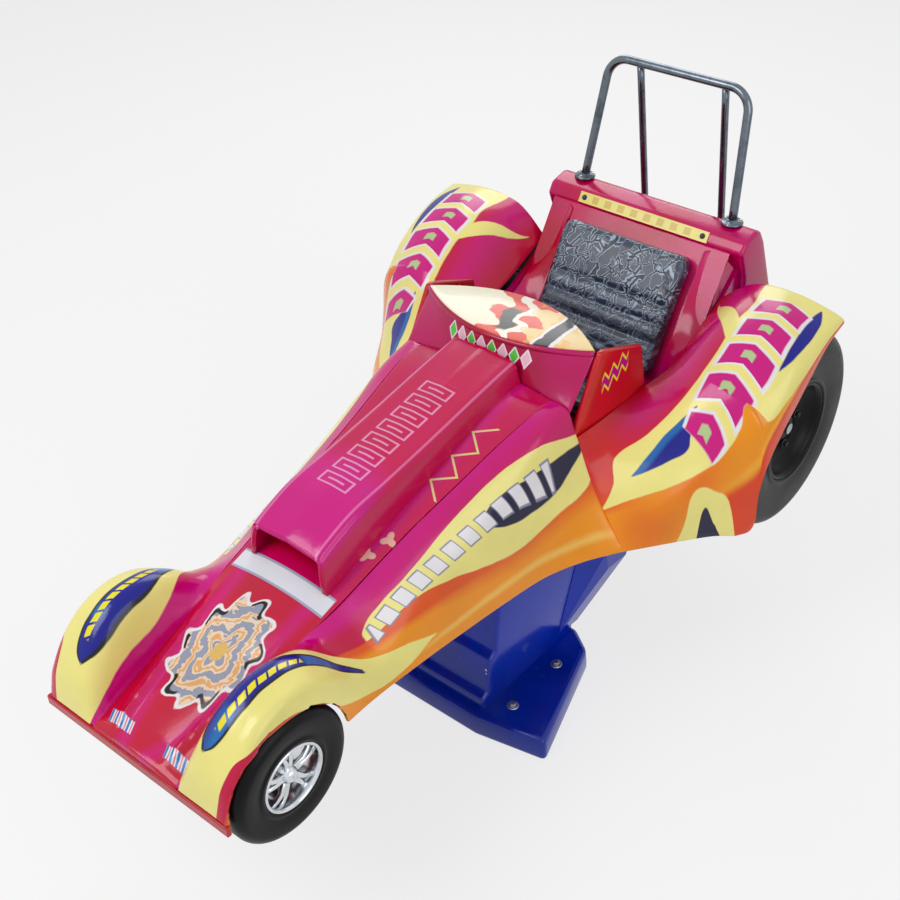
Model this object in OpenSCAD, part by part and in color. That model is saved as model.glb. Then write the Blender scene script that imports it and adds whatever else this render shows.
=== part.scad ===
// Coin-operated dragster ride: a moulded racing car that rocks on a floor pedestal.
// Millimetres. +Z is up, the nose points to -Y, +X is the car's left.

/* [Overall] */
// Wall of the moulded body panels
wall = 6; // [4:0.5:8]
// Wall of the pedestal moulding
base_wall = 8; // [6:1:12]
// Seam between panels that meet
seam = 0.3; // [0.2:0.1:0.6]

/* [Front wheels] */
// Radius of the front tyres
front_r = 129; // [118:1:130]
// Width of the front tyres
front_w = 74; // [50:1:76]
// Distance of the outer faces of the front tyres from the middle
front_face_x = 240; // [236:1:260]
// Height of the front axle
front_axle_z = 378; // [374:1:386]
// Place of the front axle along the car
front_axle_y = -676; // [-680:1:-670]
// Radius of the front axle
front_axle_r = 10; // [8:0.5:11]

/* [Rear wheels] */
// Radius of the rear tyres
rear_r = 218; // [190:1:222]
// Width of the rear tyres
rear_w = 166; // [120:1:168]
// Distance of the outer faces of the rear tyres from the middle
rear_face_x = 472; // [466:1:474]
// Height of the rear axle
rear_axle_z = 466; // [456:1:470]
// Place of the rear axle along the car
rear_axle_y = 582; // [576:1:590]
// Radius of the rear axle
rear_axle_r = 12; // [9:0.5:14]

/* [Seat] */
// Width of both cushions
cushion_w = 330; // [260:1:338]
// Thickness of the back cushion
back_pad_t = 44; // [25:1:55]
// Thickness of the bottom cushion
base_pad_t = 40; // [25:1:48]

/* [Roll bar] */
// Radius of the hoop's tube
hoop_r = 9.5; // [8:0.5:13]
// Radius of the two stays
stay_r = 8; // [6:0.5:8]
// Half of the distance between the hoop's feet
hoop_half_w = 190; // [150:1:205]
// Length of a hoop leg from the deck to the top bar
hoop_h = 276; // [240:1:330]
// Radius of the bends at the top
hoop_bend_r = 48; // [35:1:70]

/* [Steering] */
// Radius of the steering wheel
steer_r = 84; // [65:1:90]
// Radius of its rim's grip
steer_grip_r = 9; // [6:0.5:12]

/* [Pedestal] */
// Height of the feet of the pedestal
foot_h = 56; // [40:1:70]
// Half width of the tower
tower_half_w = 200; // [170:1:215]
// Height of the top of the tower
tower_top_z = 300; // [280:1:305]
// Radius of the holes for the floor bolts
anchor_r = 7; // [4:0.5:9]

/* [Pivot] */
// Place of the rocking pin along the car
pivot_y = 150; // [120:1:180]
// Height of the rocking pin
pivot_z = 332; // [330:1:336]
// Radius of the rocking pin
pivot_r = 12; // [9:0.5:14]
// Running clearance of every shaft in its hole
run_fit = 0.05; // [0.02:0.01:0.1]

/* [Hidden] */
$fn = 48;

crimson = "#c8102e";
magenta = "#d4148c";
cream = "#f6efa0";
orange = "#f59a1c";
base_blue = "#10209a";
steel = "#3a3f45";
pad_grey = "#4a5670";

// The ends of the car, which the origin lies midway between
nose_y = -824;
tail_y = 884;
mid_y = (nose_y + tail_y) / 2;

// Height of the top of the chassis rails, where the floor pan lies
rail_top_z = 398;
rail_h = 36;
rail_w = 30;
rail_x = 100;
floor_z = rail_top_z + seam;

// ---------------------------------------------------------------- curves and lofts

// One coordinate of a smooth curve through b and c
function bend(a, b, c, d, t) =
    b + t * ((c - a) / 2 + t * (a - 2.5 * b + 2 * c - d / 2 + t * (1.5 * (b - c) + (d - a) / 2)));

// Points of a smooth curve through a list of points, with n steps between two of them
function curve(p, n) = [for (i = [0 : len(p) - 2], k = [0 : n - (i == len(p) - 2 ? 0 : 1)])
    bend(p[max(i - 1, 0)], p[i], p[i + 1], p[min(i + 2, len(p) - 1)], k / n)];

// Unit vector across a section's line at point i, turned to its inner side
function across(s, i) =
    let (d = s[min(i + 1, len(s) - 1)] - s[max(i - 1, 0)], l = max(norm(d), 0.001))
    [d[1] / l, -d[0] / l];

// A section moved inwards by a wall's thickness
function inset(s, t) = [for (i = [0 : len(s) - 1]) s[i] + t * across(s, i)];

// A section [x, z] set at y along the car
function stand(s, y) = [for (p = s) [p[0], y, p[1]]];

// A sheet with a thickness, from rows of outer points and rows of inner points.
module sheet(outer, inner) {
    m = len(outer);
    n = len(outer[0]);
    points = [for (r = outer, p = r) p, for (r = inner, p = r) p];
    function o(i, j) = i * n + j;
    function u(i, j) = (m + i) * n + j;
    function quad(a, b, c, d) = [[a, b, c], [a, c, d]];
    faces = [
        for (i = [0 : m - 2], j = [0 : n - 2], f = quad(o(i, j), o(i + 1, j), o(i + 1, j + 1), o(i, j + 1))) f,
        for (i = [0 : m - 2], j = [0 : n - 2], f = quad(u(i, j), u(i, j + 1), u(i + 1, j + 1), u(i + 1, j))) f,
        for (i = [0 : m - 2], f = quad(o(i, 0), u(i, 0), u(i + 1, 0), o(i + 1, 0))) f,
        for (i = [0 : m - 2], f = quad(o(i, n - 1), o(i + 1, n - 1), u(i + 1, n - 1), u(i, n - 1))) f,
        for (j = [0 : n - 2], f = quad(o(0, j), o(0, j + 1), u(0, j + 1), u(0, j))) f,
        for (j = [0 : n - 2], f = quad(o(m - 1, j), u(m - 1, j), u(m - 1, j + 1), o(m - 1, j + 1))) f
    ];
    polyhedron(points, faces);
}

// A side profile [y, z] drawn out from x0 to x1
module side_extrude(x0, x1, profile) {
    translate([x0, 0, 0]) rotate([90, 0, 90]) linear_extrude(x1 - x0) polygon(profile);
}

// A tube from point a to point b
module rod(a, b, r) {
    d = b - a;
    translate(a) rotate([0, acos(d[2] / norm(d)), atan2(d[1], d[0])]) cylinder(r = r, h = norm(d));
}

// A shaft or a bore along X
module x_cyl(x0, x1, r, y, z) {
    translate([x0, y, z]) rotate([0, 90, 0]) cylinder(r = r, h = x1 - x0);
}

// The car's left pieces, and their mirror image on the right
module on_side(side) {
    if (side == "left") children();
    else mirror([1, 0, 0]) children();
}

// Moves a piece from the car's own stations to the origin under the middle of the ride
module place() {
    translate([0, -mid_y, 0]) children();
}

// ---------------------------------------------------------------- stations of the body

// Front fender: y, inner foot x z, inner crown x z, outer crown x z, side x z, bottom x z
FENDER_ROWS = [
    [-815, 108, 388, 140, 391, 203, 391, 222, 387, 226, 368],
    [-808, 108, 391, 141, 424, 204, 423, 225, 407, 231, 368],
    [-798, 108, 394, 142, 452, 204, 452, 227, 432, 233, 369],
    [-770, 108, 404, 144, 491, 205, 491, 230, 468, 233, 371],
    [-733, 109, 418, 146, 525, 205, 525, 231, 500, 233, 374],
    [-685, 110, 435, 148, 546, 204, 546, 231, 518, 233, 378],
    [-640, 111, 451, 149, 548, 203, 548, 231, 520, 233, 384],
    [-600, 112, 464, 150, 541, 201, 539, 230, 508, 233, 390],
    [-560, 113, 479, 150, 524, 198, 515, 227, 482, 232, 396],
    [-510, 115, 496, 150, 497, 194, 476, 220, 448, 231, 397],
    [-440, 121, 515, 152, 490, 190, 459, 214, 432, 230, 392]];

// Flank: the same columns, from the fender back to the rear arch
FLANK_ROWS = [
    [-440, 121, 515, 152, 490, 190, 459, 214, 432, 230, 392],
    [-340, 126, 546, 160, 521, 194, 487, 214, 450, 233, 387],
    [-240, 132, 576, 167, 549, 199, 511, 217, 465, 238, 381],
    [-120, 142, 608, 175, 586, 205, 549, 224, 484, 247, 375],
    [ -20, 152, 637, 185, 619, 211, 586, 235, 497, 262, 374],
    [  60, 162, 656, 194, 645, 215, 610, 249, 501, 298, 378],
    [ 130, 166, 661, 200, 655, 218, 612, 270, 498, 344, 380]];

// Rear fender: y, root x z, inner slope x z, crown x z, crease x z, bottom x z
REAR_ROWS = [
    [130, 221.6, 602, 240, 562, 270, 500, 310, 438, 344, 380],
    [220, 221.8, 592, 262, 566, 325, 532, 388, 465, 402, 376],
    [300, 222, 588, 284, 590, 360, 582, 430, 515, 446, 362],
    [345, 224, 590, 296, 608, 375, 620, 460, 560, 479, 352],
    [374, 229, 592, 302, 626, 384, 650, 480, 600, 496, 372],
    [384, 231, 593, 304, 633, 386, 658, 483, 610, 500, 500],
    [430, 236.5, 599, 306, 662, 392, 688, 489, 650, 503, 573],
    [470, 236.5, 608, 307, 686, 396, 708, 491, 678, 503, 607],
    [520, 236.5, 624, 308, 708, 400, 726, 492, 703, 503, 650],
    [576, 236.5, 648, 308, 723, 402, 738, 492, 719, 503, 694],
    [640, 236.5, 674, 308, 731, 402, 741, 492, 725, 502, 714]];

// The row at station s of a table, s = 0 for the first row
function row_at(t, s) =
    let (i = min(floor(s), len(t) - 2), last = len(t) - 1)
    bend(t[max(i - 1, 0)], t[i], t[i + 1], t[min(i + 2, last)], s - i);

// Five [x, z] points of a row, as a smooth line
function line_of(r, n) = curve([for (k = [1 : 2 : 9]) [r[k], r[k + 1]]], n);

// Least step from point to point of a panel's inner line, which keeps its root upright
root_step = 0.2;

// A panel that follows a table, with steps stations between two rows
module panel(t, steps, n) {
    count = (len(t) - 1) * steps;
    rows = [for (i = [0 : count]) row_at(t, i / steps)];
    outer = [for (r = rows) stand(line_of(r, n), r[0])];
    inner = [for (r = rows) let (line = inset(line_of(r, n), wall))
        stand([for (j = [0 : len(line) - 1]) [max(line[j][0], r[1] + j * root_step), line[j][1]]], r[0])];
    sheet(outer, inner);
}

// ---------------------------------------------------------------- pedestal

// Plan of the feet: wide at the swept front, narrow behind
FOOT_PLAN = [[150, -170], [200, -163], [356, -131], [268, 140], [213, 178], [-213, 178], [-268, 140],
    [-356, -131], [-200, -163], [-150, -170]];
foot_corner_r = 14;
anchor_x = 240;
anchor_y0 = -90;
anchor_y1 = 60;

// Side profile of the tower: a stepped front and a back that leans out under the seat
TOWER_SIDE = [[-140, 0], [-138, 84], [-118, 90], [-112, 176], [-92, 186], [-82, tower_top_z],
    [345, tower_top_z], [345, 215], [330, 165], [176, foot_h + 2], [176, 0]];
TOWER_HOLLOW = [[-140 + base_wall, -1], [-138 + base_wall, 84 - base_wall],
    [-118 + base_wall, 90 - base_wall], [-112 + base_wall, 176 - base_wall],
    [-92 + base_wall, 186 - base_wall], [-82 + base_wall, tower_top_z - base_wall],
    [345 - base_wall, tower_top_z - base_wall], [345 - base_wall, 217], [324, 171],
    [176 - base_wall, foot_h + 6], [176 - base_wall, -1]];
well_half_w = 130;
well_y0 = 40;
well_y1 = 270;

module foot_outline(grow) {
    offset(r = foot_corner_r + grow, $fn = 32) offset(delta = -foot_corner_r) polygon(FOOT_PLAN);
}

module pedestal_foot() place() color(base_blue) {
    difference() {
        linear_extrude(foot_h) foot_outline(0);
        translate([0, 0, -1]) linear_extrude(foot_h - base_wall + 1) foot_outline(-base_wall);
        // the tower stands in this gap
        side_extrude(-tower_half_w - seam, tower_half_w + seam,
            [[-300, -1], [-300, foot_h + 1], [176 + seam, foot_h + 1], [176 + seam, -1]]);
        for (x = [-anchor_x, anchor_x], y = [anchor_y0, anchor_y1])
            translate([x, y, -1]) cylinder(r = anchor_r, h = foot_h + 2);
    }
}

module pedestal_tower() place() color(base_blue) {
    difference() {
        side_extrude(-tower_half_w, tower_half_w, TOWER_SIDE);
        side_extrude(-tower_half_w + base_wall, tower_half_w - base_wall, TOWER_HOLLOW);
        translate([-well_half_w, well_y0, tower_top_z - 2 * base_wall])
            cube([2 * well_half_w, well_y1 - well_y0, 4 * base_wall]);
    }
}

// Moulded flares on both sides of the tower's back, wider towards the top
flare_out = 36;
flare_skin = 1;
module tower_rim() place() color(base_blue) for (side = ["left", "right"]) on_side(side) hull() {
    side_extrude(tower_half_w + seam, tower_half_w + seam + flare_skin,
        [[120, 70], [190, 64], [330, 167], [345, 216], [345, 240], [180, 240]]);
    side_extrude(tower_half_w + flare_out - flare_skin, tower_half_w + flare_out,
        [[250, 190], [318, 184], [336, 216], [336, 240], [240, 240]]);
}

frame_h = 30;
frame_x = 150;
module base_frame() place() color(steel) {
    in_x = tower_half_w - base_wall - seam;
    for (x = [-frame_x, frame_x])
        translate([x - 20, -128, 0]) cube([40, 294, frame_h]);
    for (y = [-60, 120])
        translate([-in_x, y, 0]) cube([2 * in_x, 40, frame_h]);
}

module drive_unit() place() color(steel) {
    translate([-80, -60, frame_h + seam]) cube([160, 220, 150]);
}

bearing_r = 26;
bearing_half = 62;
module pivot_bearing() place() color(steel) {
    difference() {
        union() {
            x_cyl(-bearing_half, bearing_half, bearing_r, pivot_y, pivot_z);
            for (s = [-1, 1]) hull() {
                x_cyl(s * 45 - 6, s * 45 + 6, 18, pivot_y, pivot_z);
                translate([s * 45 - 6, pivot_y - 36, 262]) cube([12, 72, 2]);
            }
            // plate that hangs in the tower's well, with lips on the tower's top
            translate([-well_half_w + 4, pivot_y - 50, 250]) cube([2 * well_half_w - 8, 100, 12]);
            for (s = [-1, 1]) {
                translate([s * (well_half_w - 9) - 5, pivot_y - 50, 250]) cube([10, 100, tower_top_z - 250]);
                translate([s * (well_half_w + 8) - 22, pivot_y - 50, tower_top_z]) cube([44, 100, 6]);
            }
        }
        x_cyl(-bearing_half - 1, bearing_half + 1, pivot_r + run_fit, pivot_y, pivot_z);
    }
}

lug_t = 10;
lug_x = rail_x - rail_w / 2 - lug_t;
module pivot_pin() place() color("silver") {
    x_cyl(-lug_x - lug_t - 6, lug_x + lug_t + 6, pivot_r, pivot_y, pivot_z);
    for (s = [-1, 1]) x_cyl(s * (lug_x + lug_t + 5) - 4, s * (lug_x + lug_t + 5) + 4, pivot_r + 5, pivot_y, pivot_z);
}

// ---------------------------------------------------------------- running gear

front_rail_y = front_axle_y - 34;
rear_rail_y = 800;
module chassis() place() color(steel) {
    difference() {
        union() {
            for (s = [-1, 1]) translate([s * rail_x - rail_w / 2, front_rail_y, rail_top_z - rail_h])
                cube([rail_w, rear_rail_y - front_rail_y, rail_h]);
            for (y = [-560, -60, 300, 740]) translate([-rail_x, y, rail_top_z - rail_h])
                cube([2 * rail_x, rail_w, rail_h]);
            // lugs that hang on the rocking pin
            for (s = [-1, 1]) hull() {
                x_cyl(s * (lug_x + lug_t / 2) - lug_t / 2, s * (lug_x + lug_t / 2) + lug_t / 2, 24, pivot_y, pivot_z);
                translate([s * (lug_x + lug_t / 2) - lug_t / 2, pivot_y - 60, rail_top_z - 8]) cube([lug_t, 120, 8]);
            }
            // uprights that carry the rear axle
            for (s = [-1, 1]) hull() {
                x_cyl(s * rail_x - 6, s * rail_x + 6, 26, rear_axle_y, rear_axle_z);
                translate([s * rail_x - 6, rear_axle_y - 50, rail_top_z - 2]) cube([12, 100, 2]);
            }
        }
        x_cyl(-300, 300, pivot_r + run_fit, pivot_y, pivot_z);
        x_cyl(-300, 300, front_axle_r + run_fit, front_axle_y, front_axle_z);
        x_cyl(-300, 300, rear_axle_r + run_fit, rear_axle_y, rear_axle_z);
    }
}

// Plan of the floor pan: narrow between the front wheels, wide under the cockpit
pan_nose_x = 100;
module floor_pan() place() color(crimson) {
    translate([0, 0, floor_z]) difference() {
        linear_extrude(wall) polygon([[-pan_nose_x, -530], [pan_nose_x, -530], [200, -430], [224, -100],
            [226, 800], [-226, 800], [-224, -100], [-200, -430]]);
        for (s = [-1, 1]) translate([s * rail_x - 8, rear_axle_y - 52, -1]) cube([16, 104, wall + 2]);
        for (s = [-1, 1]) translate([s * (lug_x + lug_t / 2) - 7, pivot_y - 62, -1]) cube([14, 124, wall + 2]);
    }
}

// ---------------------------------------------------------------- nose, hood and flanks

blade_t = 9 - seam;
blade_h = 22;
blade_z = 366;
blade_half_w = 233;
module nose_blade() place() color(crimson) {
    hull() {
        for (z = [blade_z + 3, blade_z + blade_h - 3])
            x_cyl(-blade_half_w, blade_half_w, 3, nose_y + 3, z, $fn = 32);
        translate([-blade_half_w, nose_y + 4, blade_z]) cube([2 * blade_half_w, blade_t - 4, blade_h]);
    }
}

hood_crown = 12;
// The hood's cross line at a row: from one side's foot over a slight crown to the other
function hood_line(r, n) = [for (k = [-n : n]) [(r[1] - seam) * k / n, r[2] + hood_crown * (1 - k * k / n / n)]];

module hood() place() color(crimson) {
    rows = concat([for (i = [0 : 2 * (len(FENDER_ROWS) - 1) - 1]) row_at(FENDER_ROWS, i / 2)],
        [for (i = [0 : 2 * (len(FLANK_ROWS) - 1)]) row_at(FLANK_ROWS, i / 2)]);
    outer = [for (r = rows) stand(hood_line(r, 5), r[0])];
    inner = [for (r = rows) stand([for (p = hood_line(r, 5)) p - [0, wall]], r[0])];
    sheet(outer, inner);
}

// Scoop at each row of the flank's table: half width at its shoulder, height over the hood's crown
SCOOP_ROWS = [[79, 72], [79, 80], [78, 65], [77, 52], [76, 41], [75, 36], [74, 42]];
scoop_foot = 12;
scoop_round = 10;
scoop_lip = 0.12;

// Height of the hood at x for a row of the body
function hood_z(r, x) = r[2] + hood_crown * (1 - pow(x / (r[1] - seam), 2));
// Half of the scoop's cross line, t inside its outer face
function scoop_half(r, q, t) =
    let (foot_x = q[0] + scoop_foot - t, top_z = r[2] + hood_crown + q[1])
    curve([[foot_x, hood_z(r, foot_x) + seam], [q[0] + 2 - t, top_z - scoop_round],
        [q[0] - scoop_round, top_z - t], [0, top_z + 4 - t]], 3);
function scoop_line(s, t) = let (h = scoop_half(row_at(FLANK_ROWS, s), row_at(SCOOP_ROWS, s), t))
    concat([for (p = h) [-p[0], p[1]]], [for (i = [len(h) - 2 : -1 : 0]) h[i]]);

module hood_scoop() place() color(magenta) {
    stations = [for (i = [0 : 2 * (len(SCOOP_ROWS) - 1)]) max(i / 2, scoop_lip)];
    sheet([for (s = stations) stand(scoop_line(s, 0), row_at(FLANK_ROWS, s)[0])],
        [for (s = stations) stand(scoop_line(s, wall), row_at(FLANK_ROWS, s)[0])]);
}

// Room round the front tyre in its wheel arch
arch_gap = 6;
module front_fender(side) place() color(cream) on_side(side) {
    resize([0, 0, 0]) difference() {
        panel(FENDER_ROWS, 2, 4);
        x_cyl(160, 300, front_r + arch_gap, front_axle_y, front_axle_z, $fn = 64);
    }
}
module left_front_fender() { front_fender("left"); }
module right_front_fender() { front_fender("right"); }

module side_panel(side) place() color(cream) on_side(side)
    translate([0, seam, 0]) panel(FLANK_ROWS, 2, 4);
module left_side_panel() { side_panel("left"); }
module right_side_panel() { side_panel("right"); }

// ---------------------------------------------------------------- cowl and cockpit

cowl_half_w = 207;
cowl_base_y = 124.6;
cowl_base_z = 652;
cowl_top_z = 746;
cowl_tip_y = 211;
// Forward and rearward bulge of the cowl's top between its tips
lens_front = 70;
lens_back = 84;
lens_t = 8;
lens_steps = 12;

function lens_y(k, bulge) = cowl_tip_y + bulge * (1 - k * k / lens_steps / lens_steps);

// Front wall of the cowl at step k: straight at its foot, bulged at its top
function bulge(k) = 1 - k * k / lens_steps / lens_steps;
function cowl_line(k) = [for (i = [0 : 3])
    let (foot_y = cowl_base_y + 6, top_y = lens_y(k, -lens_front), foot_z = cowl_base_z + 24 * bulge(k))
    [cowl_half_w * k / lens_steps, foot_y + (top_y - foot_y) * i / 3, foot_z + (cowl_top_z - foot_z) * i / 3]];

module cowl() place() color(crimson) {
    rows = [for (k = [-lens_steps : lens_steps]) cowl_line(k)];
    sheet([for (r = rows) [for (p = r) p + [0, wall, 0]]], rows);
}

module cowl_top() place() color(cream) {
    top = cowl_top_z + seam;
    translate([0, 0, top]) linear_extrude(lens_t) polygon(concat(
        [for (k = [-lens_steps : lens_steps]) [cowl_half_w * k / lens_steps, lens_y(k, -lens_front)]],
        [for (k = [lens_steps - 1 : -1 : 1 - lens_steps]) [cowl_half_w * k / lens_steps, lens_y(k, lens_back)]]));
}

screen_t = 14;
screen_x = cowl_half_w + seam;
module side_screen(side) place() color(crimson) on_side(side)
    side_extrude(screen_x, screen_x + screen_t,
        [[131, 606], [142, 628], [212, 752], [226, 752], [356, 700], [381, 580], [381, 572], [131, 572]]);
module left_side_screen() { side_screen("left"); }
module right_side_screen() { side_screen("right"); }

// Cockpit side: y, height of its top edge
SIDE_TOP = [[131, 548], [180, 560], [225, 571], [383, 571], [425, 578], [512, 600], [570, 628], [641, 676], [700, 728], [735, 762]];
side_x = 226;
side_t = 10;
module cockpit_side(side) place() color(magenta) on_side(side) difference() {
    side_extrude(side_x + seam, side_x + side_t, concat(SIDE_TOP, [[750, 762], [806, 610], [806, 398], [131, 398]]));
    x_cyl(200, 260, rear_axle_r + 14, rear_axle_y, rear_axle_z);
}
module left_cockpit_side() { cockpit_side("left"); }
module right_cockpit_side() { cockpit_side("right"); }

// Seat shell in side view: floor riser, seat plate and leaning back
seat_front_y = 330;
seat_z = 458;
crease_y = 470;
back_top_y = 668;
back_top_z = 766;
back_lean = atan2(back_top_z - seat_z, back_top_y - crease_y);
module seat_shell() place() color(crimson) {

    side_extrude(-side_x, side_x, [[seat_front_y, floor_z + wall + seam], [seat_front_y, seat_z],
        [crease_y, seat_z], [back_top_y, back_top_z], [back_top_y + wall, back_top_z],
        [crease_y + wall, seat_z - wall], [seat_front_y + wall, seat_z - wall],
        [seat_front_y + wall, floor_z + wall + seam]]);
    for (side = ["left", "right"]) on_side(side) seat_wing();
}

// Wing beside the cushion: inner edge y z on the leaning back, outer edge y z on the cockpit side
WING_ROWS = [[400, 462, 430, 566], [474, 468, 512, 588], [530, 556, 570, 616], [594, 654, 641, 664], [652, 744, 700, 716],
    [661, 757, 712, 750]];
module seat_wing() {
    inner_x = cushion_w / 2 + 4;
    rows = [for (r = WING_ROWS) [for (k = [0 : 4])
        [inner_x + (side_x - inner_x) * k / 4, r[0] + (r[2] - r[0]) * k / 4,
            r[1] + (r[3] - r[1]) * k / 4 + 10 * sin(180 * k / 4)]]];
    sheet(rows, [for (r = rows) [for (p = r) p + [0, 6, -4]]]);
}

module seat_back_pad() place() color(pad_grey) {
    run = norm([back_top_y - crease_y, back_top_z - seat_z]);
    translate([-cushion_w / 2, crease_y, seat_z]) rotate([back_lean, 0, 0])
        translate([0, 56, 0.6]) cube([cushion_w, run - 76, back_pad_t]);
}

module seat_base_pad() place() color(pad_grey) {
    translate([-cushion_w / 2, seat_front_y + 4, seat_z + 0.4])
        cube([cushion_w, crease_y - seat_front_y - 10, base_pad_t]);
}

// Side profile of the deck: y, z from the seat's top over the shoulders and down the tail
DECK_OUT = [[674.4, 766.4], [690, 790], [735, 800], [751, 793], [769, 764], [827, 616], [862, 520],
    [845, 430], [822, 398]];
DECK_IN = [[640, 380], [640, 764], [680, 764], [694, 784], [735, 793.5], [747, 788], [763, 761],
    [821, 614], [855.5, 520], [839, 432], [812, 396], [812, 380]];
deck_half_w = 252;
module rear_deck() place() color(crimson) {
    difference() {
        side_extrude(-deck_half_w, deck_half_w, concat(DECK_OUT, [[700, 398], [700, 700]]));
        side_extrude(-deck_half_w + wall, deck_half_w - wall, DECK_IN);
    }
}

module headrest_strip() place() color(cream) {
    lean = atan2(DECK_OUT[1][1] - DECK_OUT[0][1], DECK_OUT[1][0] - DECK_OUT[0][0]);
    translate([-cushion_w / 2, DECK_OUT[0][0], DECK_OUT[0][1]]) rotate([lean, 0, 0])
        translate([0, 2, seam]) cube([cushion_w, 24, 3]);
}

// ---------------------------------------------------------------- rear fenders

module rear_fender(side) place() color(cream) on_side(side) translate([0, 2 * seam, 0]) panel(REAR_ROWS, 2, 4);
module left_rear_fender() { rear_fender("left"); }
module right_rear_fender() { rear_fender("right"); }

// ---------------------------------------------------------------- roll bar

hoop_y = 733;
hoop_z = 800 + seam;
hoop_back = 12.5;
hoop_in = 4;
// The elbows are swaged over the ends of the straight tubes
swage = 0.5;
swage_l = 3;
flange_h = 5;
module roll_hoop() place() color(steel) translate([0, hoop_y, hoop_z]) {
    leg = hoop_h - hoop_bend_r;
    top_x = hoop_half_w - leg * tan(hoop_in);
    bar_x = top_x - hoop_bend_r * cos(hoop_in);
    bar_z = leg - hoop_bend_r * sin(hoop_in) + hoop_bend_r;
    for (s = [-1, 1]) translate([s * hoop_half_w, 0, 0]) cylinder(r = hoop_r + 14, h = flange_h);
    rotate([-hoop_back, 0, 0]) {
        for (side = ["left", "right"]) on_side(side) {
            rod([hoop_half_w - 3 * tan(hoop_in), 0, 3], [top_x, 0, leg] + swage_l * [-sin(hoop_in), 0, cos(hoop_in)], hoop_r);
            translate([top_x, 0, leg]) rotate([0, -hoop_in, 0]) translate([-hoop_bend_r, 0, 0])
                rotate([90, 0, 0]) rotate_extrude(angle = 90 - hoop_in) translate([hoop_bend_r, 0])
                    circle(r = hoop_r + swage);
        }
        x_cyl(-bar_x - swage_l, bar_x + swage_l, hoop_r, 0, bar_z);
    }
}

stay_x = 98;
stay_foot_w = 32;
stay_back_y = 872;
module roll_stays() place() color(steel) for (x = [-1, 1]) {
    rod([x * 105, 806, 1060], [x * stay_x, stay_back_y, 540], stay_r);
    // plate on the sloping tail
    side_extrude(x * stay_x - stay_foot_w / 2, x * stay_x + stay_foot_w / 2,
        [[862 + 2 * seam, 520], [tail_y, 520], [tail_y, 566], [845.3 + 2 * seam, 566]]);
}

// ---------------------------------------------------------------- wheels

front_in_x = front_face_x - front_w;
rear_in_x = rear_face_x - rear_w;

module axle(half, r, y, z) {
    x_cyl(-half, half, r, y, z);
}
module front_axle() place() color("silver") {
    axle(front_face_x - 14, front_axle_r, front_axle_y, front_axle_z);
    for (s = [-1, 1]) x_cyl(s * (front_in_x - 5) - 4, s * (front_in_x - 5) + 4, front_axle_r + 8, front_axle_y, front_axle_z);
}
module rear_axle() place() color("silver") {
    axle(rear_face_x - 20, rear_axle_r, rear_axle_y, rear_axle_z);
    for (s = [-1, 1]) x_cyl(s * (rear_in_x - 5) - 4, s * (rear_in_x - 5) + 4, rear_axle_r + 10, rear_axle_y, rear_axle_z);
}

// A hollow tyre about the X axis, its outer face at x = 0, open to the rim between its beads
tyre_wall = 14;
module tyre(r, w, bore, round_r) {
    rotate([0, -90, 0]) rotate_extrude($fn = 64) difference() {
        tyre_section(r, w, bore, round_r);
        intersection() {
            offset(delta = -tyre_wall) tyre_section(r, w, bore - 2 * tyre_wall, round_r);
            translate([bore - 1, 0]) square([r, w]);
        }
    }
}
module tyre_section(r, w, bore, round_r) {
    translate([bore, 0]) hull() {
        translate([0, 4]) square([4, w - 8]);
        for (v = [round_r, w - round_r]) translate([r - bore - round_r, v]) circle(r = round_r, $fn = 32);
    }
}

// A rim that fills the tyre's bore: hub, web with round windows, and two flanges
module rim(bore, w, hub_r, shaft_r, holes, hole_r, hole_pcd, dish) {
    rotate([0, -90, 0]) difference() {
        union() {
            difference() {
                translate([0, 0, 1]) cylinder(r = bore - seam, h = w - 2);
                translate([0, 0, -1]) cylinder(r = bore - 7, h = dish + 1);
                translate([0, 0, dish + 12]) cylinder(r = bore - 7, h = w);
            }
            translate([0, 0, 4]) cylinder(r = hub_r, h = w - 8);
        }
        translate([0, 0, -1]) cylinder(r = shaft_r + run_fit, h = w + 2);
        for (i = [0 : holes - 1]) rotate(360 * i / holes)
            translate([hole_pcd / 2, 0, -1]) cylinder(r = hole_r, h = w + 2);
    }
}

front_bore = 67;
rear_bore = 110;
module front_tyre(side) place() color("#101010") on_side(side)
    translate([front_face_x, front_axle_y, front_axle_z]) tyre(front_r, front_w, front_bore, 22);
module front_rim(side) place() color("silver") on_side(side)
    translate([front_face_x, front_axle_y, front_axle_z])
        rim(front_bore, front_w, 20, front_axle_r, 5, 13, 84, 12);
module rear_tyre(side) place() color("#101010") on_side(side)
    translate([rear_face_x, rear_axle_y, rear_axle_z]) tyre(rear_r, rear_w, rear_bore, 34);
module rear_rim(side) place() color("silver") on_side(side)
    translate([rear_face_x, rear_axle_y, rear_axle_z])
        rim(rear_bore, rear_w, 30, rear_axle_r, 5, 20, 136, 40);
module left_front_tyre() { front_tyre("left"); }
module right_front_tyre() { front_tyre("right"); }
module left_front_rim() { front_rim("left"); }
module right_front_rim() { front_rim("right"); }
module left_rear_tyre() { rear_tyre("left"); }
module right_rear_tyre() { rear_tyre("right"); }
module left_rear_rim() { rear_rim("left"); }
module right_rear_rim() { rear_rim("right"); }

// ---------------------------------------------------------------- steering

steer_y = 318;
steer_z = 640;
steer_lean = 35;
column_r = 9;
// Frame of the steering column: its Z runs up the column to the driver
module steer_frame() translate([0, steer_y, steer_z]) rotate([-90 + steer_lean, 0, 0]) children();

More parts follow.
